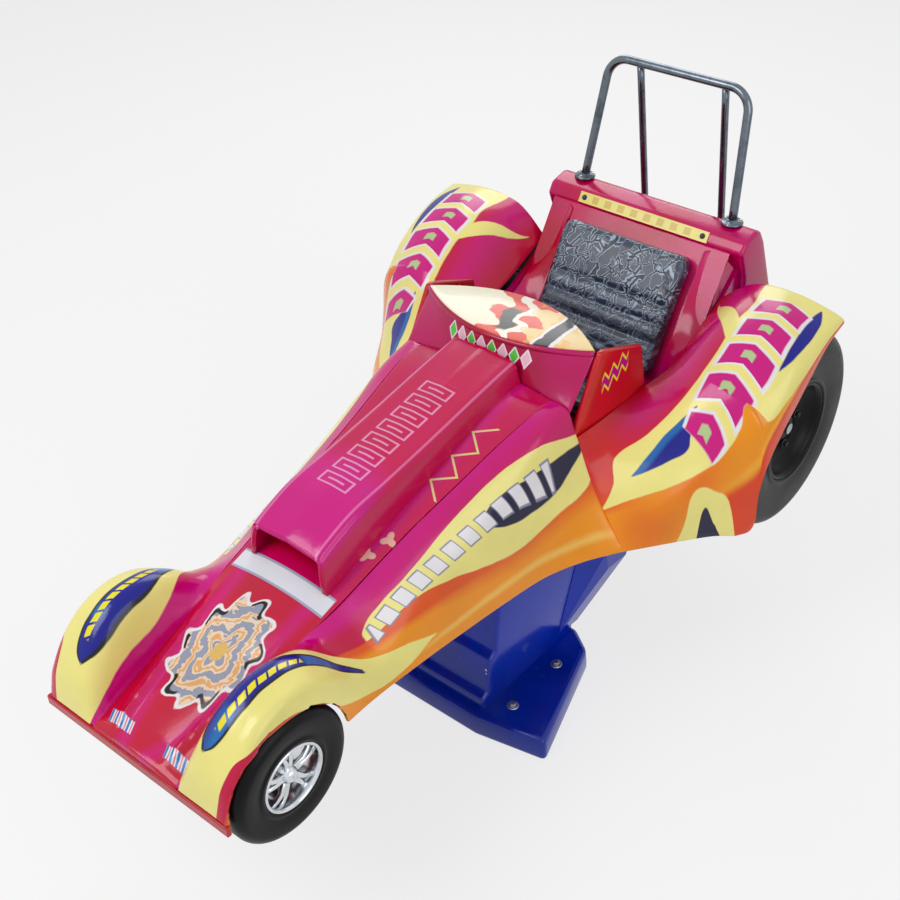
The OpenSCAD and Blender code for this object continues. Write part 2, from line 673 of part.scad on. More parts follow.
module steering_column() place() color(steel) {
    steer_frame() {
        translate([0, 0, -150]) cylinder(r = column_r, h = 160);
        translate([0, 0, -150]) cylinder(r = column_r + 9, h = 122);
    }
    // stand that carries the column from the floor
    side_extrude(-20, 20, [[186, floor_z + wall + seam], [212, floor_z + wall + seam], [226, 566], [190, 566]]);
}

module steering_wheel() place() color("#181818") steer_frame() difference() {
    union() {
        rotate_extrude($fn = 64) translate([steer_r - steer_grip_r, 0]) circle(r = steer_grip_r, $fn = 24);
        translate([0, 0, -16]) cylinder(r = 22, h = 26);
        for (a = [90, 210, 330]) rotate(a) translate([18, -8, -4]) cube([steer_r - steer_grip_r - 20, 16, 6]);
    }
    translate([0, 0, -20]) cylinder(r = column_r + run_fit, h = 31);
}

pedestal_foot();
pedestal_tower();
tower_rim();
base_frame();
drive_unit();
pivot_bearing();
pivot_pin();
chassis();
floor_pan();
nose_blade();
hood();
hood_scoop();
left_front_fender();
right_front_fender();
left_side_panel();
right_side_panel();
cowl();
cowl_top();
left_side_screen();
right_side_screen();
left_cockpit_side();
right_cockpit_side();
seat_shell();
seat_back_pad();
seat_base_pad();
rear_deck();
headrest_strip();
left_rear_fender();
right_rear_fender();
roll_hoop();
roll_stays();
front_axle();
rear_axle();
left_front_tyre();
right_front_tyre();
left_front_rim();
right_front_rim();
left_rear_tyre();
right_rear_tyre();
left_rear_rim();
right_rear_rim();
steering_column();
steering_wheel();
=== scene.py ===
"""Looks of a coin-operated dragster ride: moulded body, seat, wheels and roll bar on its pedestal."""

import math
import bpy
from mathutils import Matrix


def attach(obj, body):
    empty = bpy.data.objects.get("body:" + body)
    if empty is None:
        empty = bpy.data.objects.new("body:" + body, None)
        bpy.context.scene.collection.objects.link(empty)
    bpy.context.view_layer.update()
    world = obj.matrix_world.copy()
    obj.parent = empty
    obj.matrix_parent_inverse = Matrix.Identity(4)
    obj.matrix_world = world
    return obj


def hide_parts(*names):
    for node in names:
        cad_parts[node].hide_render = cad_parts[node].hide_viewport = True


bl_info = {
    "name": "Dragster Ride",
    "version": (1, 0, 0),
    "blender": (4, 5, 0),
    "location": "View3D > Sidebar > Ride",
    "description": "Dresses the packed dragster ride in its painted panels, wheels, cushions and studio",
    "category": "Object",
}

import bmesh
import bpy
from mathutils import Matrix, Vector

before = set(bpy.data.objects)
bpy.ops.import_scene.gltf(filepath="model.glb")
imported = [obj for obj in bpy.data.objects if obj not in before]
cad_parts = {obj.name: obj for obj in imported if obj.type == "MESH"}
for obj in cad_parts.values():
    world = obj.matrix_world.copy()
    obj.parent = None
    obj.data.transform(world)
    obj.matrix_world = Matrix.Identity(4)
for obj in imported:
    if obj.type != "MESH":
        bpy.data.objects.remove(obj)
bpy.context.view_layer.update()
MM = 0.001
MID_Y = 30.0  # the shared frame's middle, in the car's own millimetres
LAST = 4.2  # a little past the last line across a panel, where painted lines may leave it


# ---------------------------------------------------------------- shader maths


def plug(tree, socket, value):
    """Puts a number, colour, vector or link into a node's input."""
    if isinstance(value, Val):
        tree.links.new(value.out, socket)
    elif isinstance(value, bpy.types.NodeSocket):
        tree.links.new(value, socket)
    elif value is not None:
        socket.default_value = value


class Val:
    """A number in a material that Python's operators add Math nodes to."""

    def __init__(self, tree, out):
        self.tree, self.out = tree, out

    def math(self, operation, *others, clamp=False):
        node = self.tree.nodes.new("ShaderNodeMath")
        node.operation, node.use_clamp = operation, clamp
        for socket, value in zip(node.inputs, (self,) + others):
            plug(self.tree, socket, value)
        return Val(self.tree, node.outputs[0])

    def __add__(self, other):
        return self.math("ADD", other)

    __radd__ = __add__

    def __sub__(self, other):
        return self.math("SUBTRACT", other)

    def __rsub__(self, other):
        return (self * -1.0).math("ADD", other)

    def __mul__(self, other):
        return self.math("MULTIPLY", other)

    __rmul__ = __mul__

    def __truediv__(self, other):
        return self.math("DIVIDE", other)

    def __pow__(self, other):
        return self.math("POWER", other)

    def __abs__(self):
        return self.math("ABSOLUTE")

    def above(self, edge, soft=0.01):
        """0 below the edge and 1 above it, with a soft step between."""
        return ((self - edge) / soft).math("ADD", 0.5, clamp=True)

    def below(self, edge, soft=0.01):
        return 1.0 - self.above(edge, soft)

    def within(self, low, high, soft=0.03):
        """1 between two edges and 0 outside them."""
        return self.above(low, soft) * self.below(high, soft)

    def either(self, other):
        return self.math("MAXIMUM", other)

    def wave(self):
        return self.math("SINE")

    def part(self):
        """What is left of the value after its whole number."""
        return self.math("FRACT")


class Finish:
    """A material under construction."""

    def __init__(self, name):
        self.material = bpy.data.materials.new(name)
        self.material.use_nodes = True
        self.tree = self.material.node_tree
        self.tree.nodes.clear()

    def node(self, kind, settings=None, sockets=None):
        """Adds a node: its settings first, then the values or links of its sockets."""
        node = self.tree.nodes.new(kind)
        for key, value in (settings or {}).items():
            if key == "bends":
                line = node.mapping.curves[0]
                while len(line.points) < len(value):
                    line.points.new(0.5, 0.5)
                for point, place in zip(line.points, value):
                    point.location = place
                node.mapping.update()
            else:
                setattr(node, key, value)
        for key, value in (sockets or {}).items():
            plug(self.tree, node.inputs[key], value)
        return node

    def val(self, socket):
        return Val(self.tree, socket)

    def split(self, vector):
        out = self.node("ShaderNodeSeparateXYZ", None, {0: vector}).outputs
        return [self.val(out[k]) for k in range(3)]

    def place(self):
        """The point's x, y, z on the ride, in metres, and the socket that holds them."""
        socket = self.node("ShaderNodeTexCoord").outputs["Object"]
        return self.split(socket) + [socket]

    def plan(self):
        """Along and across on a panel: metres along the car, and the stripe that a point lies in."""
        return self.split(self.node("ShaderNodeAttribute", {"attribute_name": "plan"}).outputs["Vector"])[:2]

    def line(self, along, points):
        """The across value of a painted line at each place along the car, through [(mm, across)]."""
        low, high = points[0][0], points[-1][0]
        t = (along - low * MM) / ((high - low) * MM)
        bends = [((y - low) / (high - low), v / LAST) for y, v in points]
        curve = self.node("ShaderNodeFloatCurve", {"bends": bends}, {"Value": t})
        return self.val(curve.outputs[0]) * LAST

    def mix(self, a, b, mask):
        node = self.node("ShaderNodeMix", {"data_type": "RGBA"})
        for key, value in ((0, mask), (6, a), (7, b)):
            plug(self.tree, node.inputs[key], value)
        return node.outputs[2]

    def layers(self, base, *coats):
        """Paints coats of (colour, mask) over a base colour."""
        for colour, mask in coats:
            base = self.mix(base, colour, mask)
        return base

    def noise(self, vector, scale, detail=3.0, rough=0.5, twist=0.0):
        sockets = {"Vector": vector, "Scale": scale, "Detail": detail, "Roughness": rough, "Distortion": twist}
        return self.val(self.node("ShaderNodeTexNoise", None, sockets).outputs[0])

    def bump(self, height, depth, strength=1.0):
        sockets = {"Height": height, "Distance": depth, "Strength": strength}
        return self.node("ShaderNodeBump", None, sockets).outputs[0]

    def done(self, colour, roughness, normal=None, metal=0.0, coat=0.0, shine=0.5):
        sockets = {"Base Color": colour, "Roughness": roughness, "Metallic": metal, "Coat Weight": coat,
                   "Coat Roughness": 0.05, "Specular IOR Level": shine}
        if normal is not None:
            sockets["Normal"] = normal
        shader = self.node("ShaderNodeBsdfPrincipled", None, sockets)
        self.node("ShaderNodeOutputMaterial", None, {0: shader.outputs[0]})
        return self.material


def tint(code):
    """A linear colour from a six-figure hex code."""
    values = [int(code[k:k + 2], 16) / 255 for k in (0, 2, 4)]
    return tuple(c / 12.92 if c < 0.04045 else ((c + 0.055) / 1.055) ** 2.4 for c in values) + (1.0,)


CREAM = tint("fbf08e")
ORANGE = tint("fc9a0a")
DEEP_ORANGE = tint("ee5a10")
RED = tint("dd1a10")
NAVY = tint("0a1290")
NIGHT = tint("120a38")
YELLOW = tint("f8ea1e")
WHITE = tint("f4f1f6")
BLACK = tint("0b0a0c")
PINK = tint("f49ad0")
SKY = tint("1f86cc")


# ---------------------------------------------------------------- mesh making


def bend(a, b, c, d, t):
    return b + t * ((c - a) / 2 + t * (a - 2.5 * b + 2 * c - d / 2 + t * (1.5 * (b - c) + (d - a) / 2)))


def between(rows, s):
    """The row at station s of a table, on a smooth curve through its rows."""
    i = min(int(s), len(rows) - 2)
    t, last = s - i, len(rows) - 1
    picked = [rows[max(i - 1, 0)], rows[i], rows[i + 1], rows[min(i + 2, last)]]
    return [bend(*column, t) for column in zip(*picked)]


def spread(rows, steps):
    return [between(rows, i / steps) for i in range((len(rows) - 1) * steps + 1)]


def section(row, n):
    """The cross line of a table's row as [(x, z, across)] in millimetres."""
    points = list(zip(row[1::2], row[2::2]))
    return [(x, z, s) for (x, z), s in zip(spread(points, n), [k / n for k in range((len(points) - 1) * n + 1)])]


def metres(x, y, z):
    """A place on the car, in millimetres from its own middle, as metres in the shared frame."""
    return x * MM, (y - MID_Y) * MM, z * MM


def loose(built, name, material, outward=True):
    """Turns a built mesh into a smooth-shaded object."""
    if outward:
        bmesh.ops.recalc_face_normals(built, faces=built.faces)
    mesh = bpy.data.meshes.new(name)
    built.to_mesh(mesh)
    built.free()
    mesh.materials.append(material)
    mesh.shade_smooth()
    piece = bpy.data.objects.new(name, mesh)
    bpy.context.scene.collection.objects.link(piece)
    return piece


def made(built, name, material, body, outward=True):
    """Turns a built mesh into a piece that rides on a body."""
    piece = loose(built, name, material, outward)
    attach(piece, body)
    return piece


def stand_in(piece, slot, *nodes):
    """Hides the CAD nodes that a piece stands for; the slot is not used."""
    if nodes:
        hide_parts(*nodes)
    return piece


def band(built, a, b):
    """Joins two rings of points with faces."""
    count = len(a)
    for k in range(count):
        built.faces.new((a[k], a[(k + 1) % count], b[(k + 1) % count], b[k]))


def capped(built, rings):
    """Closes a row of rings into a solid."""
    built.faces.new(rings[0][::-1])
    built.faces.new(rings[-1])


def settle(piece):
    """Applies a piece's modifiers to its mesh."""
    graph = bpy.context.evaluated_depsgraph_get()
    mesh = bpy.data.meshes.new_from_object(piece.evaluated_get(graph))
    piece.modifiers.clear()
    old, piece.data = piece.data, mesh
    bpy.data.meshes.remove(old)
    return piece


def soften(piece, width, segments=3, angle=35.0):
    """Rounds a piece's sharp edges."""
    edge = piece.modifiers.new("rounded", "BEVEL")
    edge.width, edge.segments, edge.limit_method = width, segments, "ANGLE"
    edge.angle_limit, edge.harden_normals = math.radians(angle), False
    return piece


def skin(name, grid, material, body="car", wall=0.006, mirror=False, keep=None, lip=0.0014):
    """A moulded panel through a grid of (x, y, z, along, across), with a wall and rounded rims."""
    side = -1.0 if mirror else 1.0
    built = bmesh.new()
    plan = built.verts.layers.float_vector.new("plan")
    rows = []
    for line in grid:
        row = []
        for x, y, z, along, across in line:
            vert = built.verts.new((x * side, y, z))
            vert[plan] = (along, across, 0.0)
            row.append(vert)
        rows.append(row)
    for i in range(len(rows) - 1):
        for j in range(len(rows[0]) - 1):
            corners = [rows[i][j], rows[i][j + 1], rows[i + 1][j + 1], rows[i + 1][j]]
            if keep is None or keep(i, j):
                built.faces.new(corners if mirror else corners[::-1])
    bmesh.ops.delete(built, geom=[v for v in built.verts if not v.link_faces], context="VERTS")
    piece = made(built, name, material, body, outward=False)
    thick = piece.modifiers.new("wall", "SOLIDIFY")
    thick.thickness, thick.offset = wall, -1.0
    soften(piece, lip, 2, 50.0)
    return settle(piece)


def prism(name, profile, axis, low, high, material, body, radius=0.004, segments=3, taper=None):
    """A solid drawn from a profile along X or Z, with rounded edges. All in millimetres."""
    built = bmesh.new()
    ends = []
    for end in (low, high):
        ring = []
        for a, b in profile:
            if taper and end == high:
                a, b = taper(a, b)
            point = (end, a - MID_Y, b) if axis == "x" else (a, b - MID_Y, end)
            ring.append(built.verts.new([c * MM for c in point]))
        ends.append(ring)
    capped(built, ends)
    band(built, *ends)
    piece = made(built, name, material, body)
    soften(piece, radius, segments, 20.0)
    return settle(piece)


def turned(name, profile, centre, material, body, count=96, side=1.0):
    """A ring turned about the X axis from a closed profile of (radius, depth inwards), in millimetres."""
    built = bmesh.new()
    rings = []
    for k in range(count):
        a = 2 * math.pi * k / count
        rings.append([built.verts.new((side * (centre[0] - d) * MM, (centre[1] - MID_Y + r * math.cos(a)) * MM,
                                       (centre[2] + r * math.sin(a)) * MM)) for r, d in profile])
    for k in range(count):
        band(built, rings[k], rings[(k + 1) % count])
    bmesh.ops.remove_doubles(built, verts=built.verts, dist=1e-6)
    return made(built, name, material, body)


def tube(name, path, radius, material, body, count=20):
    """A round tube along a path of points in metres, with closed ends."""
    built = bmesh.new()
    points = [Vector(p) for p in path]
    rings, normal = [], None
    for k, point in enumerate(points):
        ahead = (points[min(k + 1, len(points) - 1)] - points[max(k - 1, 0)]).normalized()
        if normal is None:
            normal = ahead.orthogonal().normalized()
        normal = (normal - ahead * normal.dot(ahead)).normalized()
        cross = ahead.cross(normal)
        rings.append([built.verts.new(point + radius * (normal * math.cos(t) + cross * math.sin(t)))
                      for t in (2 * math.pi * j / count for j in range(count))])
    for a, b in zip(rings, rings[1:]):
        band(built, a, b)
    capped(built, rings)
    return made(built, name, material, body)


def studs(name, places, up, radius, height, material, body, sides=6):
    """Bolt heads on washers at places, standing along up. All in metres."""
    built = bmesh.new()
    turn = Vector(up).normalized().to_track_quat("Z", "Y").to_matrix().to_4x4()
    for place in places:
        for wide, tall, rise, count in ((1.55, 0.3, 0.15, 24), (1.0, 1.0, 0.8, sides)):
            matrix = Matrix.Translation(place) @ turn @ Matrix.Translation((0, 0, height * rise))
            bmesh.ops.create_cone(built, cap_ends=True, segments=count, radius1=radius * wide,
                                  radius2=radius * wide * 0.92, depth=height * tall, matrix=matrix)
    piece = made(built, name, material, body, outward=False)
    soften(piece, radius * 0.1, 2, 30.0)
    return settle(piece)


def dress(node, material, radius=0.0, segments=2, angle=30.0):
    """Gives a CAD node its finish and rounds its sharp edges."""
    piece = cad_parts[node]
    piece.data.materials.clear()
    piece.data.materials.append(material)
    piece.data.shade_smooth()
    soften(piece, max(radius, 0.0004), segments, angle)


# ---------------------------------------------------------------- body tables, in millimetres

# y, inner foot x z, inner crown x z, outer crown x z, side x z, bottom x z
FENDER = [
    [-815, 108, 388, 140, 391, 203, 391, 222, 387, 226, 368],
    [-808, 108, 391, 141, 424, 204, 423, 225, 407, 231, 368],
    [-798, 108, 394, 142, 452, 204, 452, 227, 432, 233, 369],
    [-770, 108, 404, 144, 491, 205, 491, 230, 468, 233, 371],
    [-733, 109, 418, 146, 525, 205, 525, 231, 500, 233, 374],
    [-685, 110, 435, 148, 546, 204, 546, 231, 518, 233, 378],
    [-640, 111, 451, 149, 548, 203, 548, 231, 520, 233, 384],
    [-600, 112, 464, 150, 541, 201, 539, 230, 508, 233, 390],
    [-560, 113, 479, 150, 524, 198, 515, 227, 482, 232, 396],
    [-510, 115, 496, 150, 497, 194, 476, 220, 448, 231, 397]]
FLANK = [
    [-440, 121, 515, 152, 490, 190, 459, 214, 432, 230, 392],
    [-340, 126, 546, 160, 521, 194, 487, 214, 450, 233, 387],
    [-240, 132, 576, 167, 549, 199, 511, 217, 465, 238, 381],
    [-120, 142, 608, 175, 586, 205, 549, 224, 484, 247, 375],
    [-20, 152, 637, 185, 619, 211, 586, 235, 497, 262, 374],
    [60, 162, 656, 194, 645, 215, 610, 249, 501, 298, 378],
    [130, 166, 661, 200, 655, 218, 612, 270, 498, 344, 380]]
# y, root x z, inner slope x z, crown x z, crease x z, bottom x z
REAR = [
    [130, 221.6, 602, 240, 562, 270, 500, 310, 438, 344, 380],
    [220, 221.8, 592, 262, 566, 325, 532, 388, 465, 402, 376],
    [300, 222, 588, 284, 590, 360, 582, 430, 515, 446, 362],
    [345, 224, 590, 296, 608, 375, 620, 460, 560, 479, 352],
    [374, 229, 592, 302, 626, 384, 650, 480, 600, 496, 372],
    [384, 231, 593, 304, 633, 386, 658, 483, 610, 500, 500],
    [430, 236.5, 599, 306, 662, 392, 688, 489, 650, 503, 573],
    [470, 236.5, 608, 307, 686, 396, 708, 491, 678, 503, 607],
    [520, 236.5, 624, 308, 708, 400, 726, 492, 703, 503, 650],
    [576, 236.5, 648, 308, 723, 402, 738, 492, 719, 503, 694],
    [640, 236.5, 674, 308, 731, 402, 741, 492, 725, 502, 714]]
# half width at the scoop's shoulder and its height over the hood's crown, for each row of the flank
SCOOP = [[79, 72], [79, 80], [78, 65], [77, 52], [76, 41], [75, 36], [74, 42]]
HOOD_CROWN = 12.0
FRONT_AXLE = (-676.0, 378.0)
REAR_AXLE = (582.0, 466.0)
TAIL = [(674.4, 766.4), (690, 790), (735, 800), (751, 793), (769, 764), (827, 616), (862, 520), (845, 430),
        (822, 398)]
WINGS = [[400, 462, 430, 566], [474, 468, 512, 588], [530, 556, 570, 616], [594, 654, 641, 664],
         [652, 744, 700, 716], [661, 757, 712, 750]]


class RideSizes(bpy.types.PropertyGroup):
    """Sizes of the dressed parts."""

    wall: bpy.props.FloatProperty(name="Panel wall", description="Wall of the moulded panels", default=0.006,
                                  min=0.003, max=0.01, unit="LENGTH")
    front_tyre_r: bpy.props.FloatProperty(name="Front tyre radius", description="Radius of the front tyres",
                                          default=0.129, min=0.1, max=0.131, unit="LENGTH")
    rear_tyre_r: bpy.props.FloatProperty(name="Rear tyre radius", description="Radius of the rear tyres",
                                         default=0.218, min=0.19, max=0.222, unit="LENGTH")
    hoop_r: bpy.props.FloatProperty(name="Hoop tube radius", description="Radius of the roll hoop's tube",
                                    default=0.0095, min=0.007, max=0.012, unit="LENGTH")
    stay_r: bpy.props.FloatProperty(name="Stay radius", description="Radius of the roll hoop's stays",
                                    default=0.008, min=0.005, max=0.01, unit="LENGTH")
    swell: bpy.props.FloatProperty(name="Cushion swell", description="Farthest that the cushions may swell",
                                   default=0.010, min=0.002, max=0.02, unit="LENGTH")


class RideColours(bpy.types.PropertyGroup):
    """Colours of the mouldings."""

    crimson: bpy.props.FloatVectorProperty(name="Crimson", description="Crimson of the tub and nose", size=4,
                                           subtype="COLOR", default=tint("cc0038"), min=0.0, max=1.0)
    magenta: bpy.props.FloatVectorProperty(name="Magenta", description="Magenta of the hood and scoop", size=4,
                                           subtype="COLOR", default=tint("d60086"), min=0.0, max=1.0)
    base: bpy.props.FloatVectorProperty(name="Pedestal blue", description="Blue of the pedestal", size=4,
                                        subtype="COLOR", default=tint("0030bc"), min=0.0, max=1.0)
    vinyl: bpy.props.FloatVectorProperty(name="Vinyl", description="Grey-blue of the cushions", size=4,
                                         subtype="COLOR", default=tint("33415a"), min=0.0, max=1.0)


class StudioSettings(bpy.types.PropertyGroup):
    """Camera and lights of the studio."""

    azimuth: bpy.props.FloatProperty(name="Azimuth", description="Turn of the camera round the ride",
                                     default=math.radians(41.2), subtype="ANGLE")
    elevation: bpy.props.FloatProperty(name="Elevation", description="Height angle of the camera",
                                       default=math.radians(36.782), subtype="ANGLE")
    roll: bpy.props.FloatProperty(name="Roll", description="Roll of the camera",
                                  default=math.radians(2.145), subtype="ANGLE")
    station: bpy.props.FloatVectorProperty(name="Station", description="Place of the camera", size=3,
                                           subtype="TRANSLATION", default=(1.44505, -1.66223, 2.17833))
    lens: bpy.props.FloatProperty(name="Lens", description="Focal length on a 36 mm sensor", default=55.147)
    key: bpy.props.FloatProperty(name="Key light", description="Power of the main softbox", default=82.0)


def sizes():
    return bpy.context.scene.ride_sizes


def colours():
    return bpy.context.scene.ride_colours


# ---------------------------------------------------------------- finishes


def mottled(finish, colour, spot, amount=0.10):
    """A colour with the faint cloudiness of sprayed gel coat."""
    cloud = finish.noise(spot, 7.0, 4.0)
    darker = tuple(c * (1.0 - 2.2 * amount) for c in colour[:3]) + (1.0,)
    return finish.mix(colour, darker, cloud.above(0.52, 0.35))


def gel_coat(finish, colour, spot, rough=0.16):
    """Finishes a glossy painted moulding with orange peel and fine rub marks."""
    peel = finish.noise(spot, 95.0, 2.0)
    marks = finish.noise(spot, 34.0, 5.0, 0.62, 0.4)
    normal = finish.bump(peel, 0.0007, 0.22)
    return finish.done(colour, marks * 0.16 + (rough - 0.06), normal, 0.0, 0.15, 0.3)


def tub_finish(name, colour, blush=None):
    finish = Finish(name)
    spot = finish.place()[3]
    base = mottled(finish, colour, spot)
    if blush is not None:
        base = finish.mix(base, blush, finish.noise(spot, 3.1, 2.0).above(0.53, 0.22) * 0.75)
    return gel_coat(finish, base, spot)


def body_finish(crimson, magenta):
    """Paint of the front fender and flank: crimson valley, navy lens, cream tail and lens, orange sill."""
    finish = Finish("flank_paint")
    spot = finish.place()[3]
    u, v = finish.plan()
    v = v + (finish.noise(spot, 22.0, 2.0) - 0.5) * 0.05
    valley = finish.line(u, [(-850, .35), (-797, .43), (-742, .46), (-686, .46), (-640, .62), (-583, 1.15),
                             (-527, 1.72), (-470, 2.43), (-406, 3.08), (-331, 3.48), (110, 4.1)])
    tail = finish.line(u, [(-850, 2.1), (-809, 2.28), (-774, 2.8), (-700, 3.05), (-640, 3.2), (-581, 3.4),
                           (-518, 3.55), (-456, 3.76), (-401, 3.70), (-331, 3.50), (110, 4.1)])
    lens_in = finish.line(u, [(-810, 1.25), (-786, 1.0), (-721, .97), (-664, 1.03), (-621, 1.28), (-580, 1.6),
                              (-540, 2.05), (-500, 2.77)])
    lens_out = finish.line(u, [(-810, 1.27), (-800, 1.45), (-747, 1.62), (-694, 1.66), (-637, 1.72),
                               (-585, 1.93), (-540, 2.3), (-500, 2.78)])
    sill = finish.line(u, [(-850, 4.1), (-600, 3.6), (-540, 1.62), (-440, 1.8), (-340, 1.98), (-265, 2.5),
                           (-194, 3.0), (-118, 3.22), (12, 3.1), (69, 2.98), (110, 2.7)])
    pale_top = finish.line(u, [(-470, 1.9), (-440, 1.25), (-395, 1.16), (-345, 1.14), (-281, 1.03), (-211, .93),
                               (-100, .96), (-56, 1.08), (11, 1.55), (60, 1.9), (110, 2.05)])
    # line where the painted light on the orange starts, below the sill's crease
    light = finish.line(u, [(-560, 1.9), (-441, 2.35), (-351, 2.85), (-229, 3.28), (-97, 3.45), (32, 3.28),
                            (110, 3.15)])
    dark_top = finish.line(u, [(-160, 1.95), (-150, 1.72), (-104, 1.70), (-44, 2.02), (9, 2.18), (80, 2.22),
                               (110, 2.2)])
    dark_low = finish.line(u, [(-160, 1.97), (-150, 2.2), (-103, 2.66), (-45, 2.78), (17, 2.74), (60, 2.55),
                               (110, 2.3)])
    fender = v.within(valley, tail) * u.below(-0.331, 0.002)
    lens = v.within(lens_in, lens_out) * u.within(-0.81, -0.5, 0.002)
    outline = v.within(lens_in - 0.09, lens_out + 0.07) * u.within(-0.812, -0.505, 0.004)
    beat = (u * 46.0 + v * 2.2).part()
    dashes = abs(v - lens_out + 0.19).below(0.085, 0.02) * beat.below(0.78, 0.08) \
        * u.within(-0.785, -0.615, 0.004)
    pale = v.within(pale_top, sill) * u.above(-0.462, 0.004)
    dark = v.within(dark_top, dark_low) * u.above(-0.16, 0.003)
    middle = finish.line(u, [(-450, 1.75), (-340, 1.6), (-240, 1.72), (-120, 2.0), (0, 2.38), (40, 2.4)])
    lean = u * 24.0 - (v - middle) * 0.5
    slash = abs(v - middle).below(0.30, 0.03) * lean.part().below(0.6, 0.04) \
        * u.within(-0.445, 0.012, 0.003)
    slash_rim = abs(v - middle).below(0.36, 0.03) * (lean + 0.05).part().below(0.7, 0.04) \
        * u.within(-0.45, 0.016, 0.003)
    seam_red = abs(v - sill + 0.05).below(0.09, 0.06) * u.above(-0.56, 0.02) * u.below(-0.33, 0.06)
    # painted highlight: a pale line along the crease low on the orange sill
    sill_crease_highlight = abs(v - 3.62).below(0.05, 0.10) * u.above(-0.36, 0.1) * u.below(0.1, 0.05)
    lowered = (v - 0.05).above(0.55, 1.1) * u.above(-0.33, 0.3).either(v.above(2.6)) * 0.5
    upper = finish.mix(magenta, crimson, lowered)
    upper = finish.mix(upper, crimson, u.below(-0.42, 0.12) * v.above(0.85, 0.5) * 0.9)
    # painted shade and light: deeper orange above the sill's crease, lighter orange below it
    orange = finish.mix(DEEP_ORANGE, ORANGE, v.above(light - 0.12, 0.32))
    paint = finish.layers(
        upper, (orange, v.above(sill, 0.04)), (ORANGE, v.above(3.2, 0.6) * u.below(-0.62, 0.05)),
        (tint("ffd469"), sill_crease_highlight * 0.8), (crimson, seam_red * 0.6), (CREAM, fender), (CREAM, pale),
        (NIGHT, dark), (tint("8d8da8"), slash_rim), (WHITE, slash), (BLACK, outline * fender),
        # painted highlight: sky-blue patches on the navy lens
        (NAVY, lens * fender), (SKY, lens * fender * finish.noise(spot, 11.0, 1.0).above(0.60, 0.1) * 0.7),
        (YELLOW, dashes * fender))
    return gel_coat(finish, mottled_link(finish, paint, spot), spot, 0.17)


def mottled_link(finish, link, spot):
    """Cloudiness for a colour that is already painted."""
    return finish.mix(link, BLACK, finish.noise(spot, 9.0, 4.0).above(0.62, 0.4) * 0.10)


def rear_finish(crimson, magenta):
    """Paint of the rear fender: crimson inner slope, cream sweep with blocks, orange and red sides."""
    finish = Finish("rear_fender_paint")
    spot = finish.place()[3]
    u, v = finish.plan()
    v = v + (finish.noise(spot, 22.0, 2.0) - 0.5) * 0.05
    inner = finish.line(u, [(95, 2.62), (130, 2.1), (160, 1.45), (231, 1.46), (305, 1.45), (354, 1.46),
                            (399, 1.47), (485, 1.40), (523, 1.44), (596, 1.3), (612, 1.3)])
    spur_in = finish.line(u, [(440, 1.42), (573, 0.32), (612, 0.2)])
    spur_out = finish.line(u, [(440, 1.5), (485, 1.42), (573, 0.34), (612, 0.2)])
    outer = finish.line(u, [(95, 2.62), (158, 2.6), (238, 2.8), (281, 2.9), (325, 2.8), (352, 2.6), (362, 3.1),
                            (423, 3.3), (508, 3.42), (612, 3.42)])
    loop = finish.line(u, [(190, 4.15), (208, 3.6), (226, 3.12), (273, 3.3), (300, 3.62), (310, 4.15)])
    hole = finish.line(u, [(234, 4.15), (244, 3.5), (269, 3.72), (288, 4.15)])
    swoosh_top = finish.line(u, [(162, 2.1), (218, 1.84), (262, 1.78), (312, 1.86)])
    swoosh_low = finish.line(u, [(162, 2.12), (220, 2.26), (258, 2.36), (272, 2.2), (312, 1.88)])
    second_top = finish.line(u, [(425, 2.72), (500, 2.62), (560, 2.58), (592, 2.62)])
    second_low = finish.line(u, [(425, 2.74), (470, 2.86), (540, 2.88), (592, 2.64)])
    middle = finish.line(u, [(268, 2.46), (345, 2.18), (410, 2.14), (500, 2.05), (590, 2.08)])
    tall = finish.line(u, [(268, 0.46), (345, 0.52), (500, 0.52), (590, 0.50)])
    cream = v.within(inner, outer)
    spur = v.within(spur_in, spur_out) * u.within(0.44, 0.574, 0.004)
    lean = (u - 0.272 + abs(v - middle) * 0.030) / 0.064
    across = abs(v - middle)
    span = u.within(0.274, 0.570, 0.003)
    rim = across.below(tall + 0.05, 0.03) * (lean + 0.06).part().below(0.80, 0.04) * span
    block = across.below(tall - 0.03, 0.03) * lean.part().below(0.66, 0.04) * span
    heart = across.below(0.13, 0.03) * (lean - 0.2).part().below(0.24, 0.04) * span
    swoosh = v.within(swoosh_top, swoosh_low) * u.within(0.162, 0.312, 0.003)
    second = v.within(second_top, second_low) * u.within(0.425, 0.592, 0.003)
    face = v.above(3.40, 0.10) * u.above(0.27, 0.05)
    front_red = u.below(0.2, 0.09) * v.below(2.2, 0.7)
    inside = finish.mix(crimson, magenta, abs(v - 0.9).below(0.35, 0.5) * u.above(0.2, 0.1) * 0.7)
    orange = finish.mix(ORANGE, DEEP_ORANGE, finish.noise(spot, 5.0, 1.0).above(0.56, 0.25) * 0.55)
    paint = finish.layers(
        inside, (RED, front_red * 0.85), (orange, v.above(outer, 0.04)),
        (DEEP_ORANGE, v.above(2.0, 0.9) * u.below(0.14, 0.05) * 0.8),
        (orange, v.above(2.7, 0.2) * u.below(0.3, 0.1)),
        # painted highlight: a pale orange line along the crease above the red-orange side face
        (tint("e8430c"), face), (tint("ffb52e"), abs(v - 3.33).below(0.05, 0.08) * u.above(0.3, 0.05) * 0.8),
        (CREAM, cream), (CREAM, spur), (CREAM, v.above(loop, 0.03) * u.within(0.19, 0.31, 0.002)),
        (NIGHT, v.above(hole, 0.03) * u.within(0.235, 0.288, 0.002)),
        (NAVY, swoosh), (NAVY, second), (SKY, swoosh * v.below(swoosh_top + 0.16, 0.1) * 0.6),
        (WHITE, rim * cream), (magenta, block * cream), (tint("b9e29a"), heart * block * 0.85))
    return gel_coat(finish, mottled_link(finish, paint, spot), spot, 0.17)


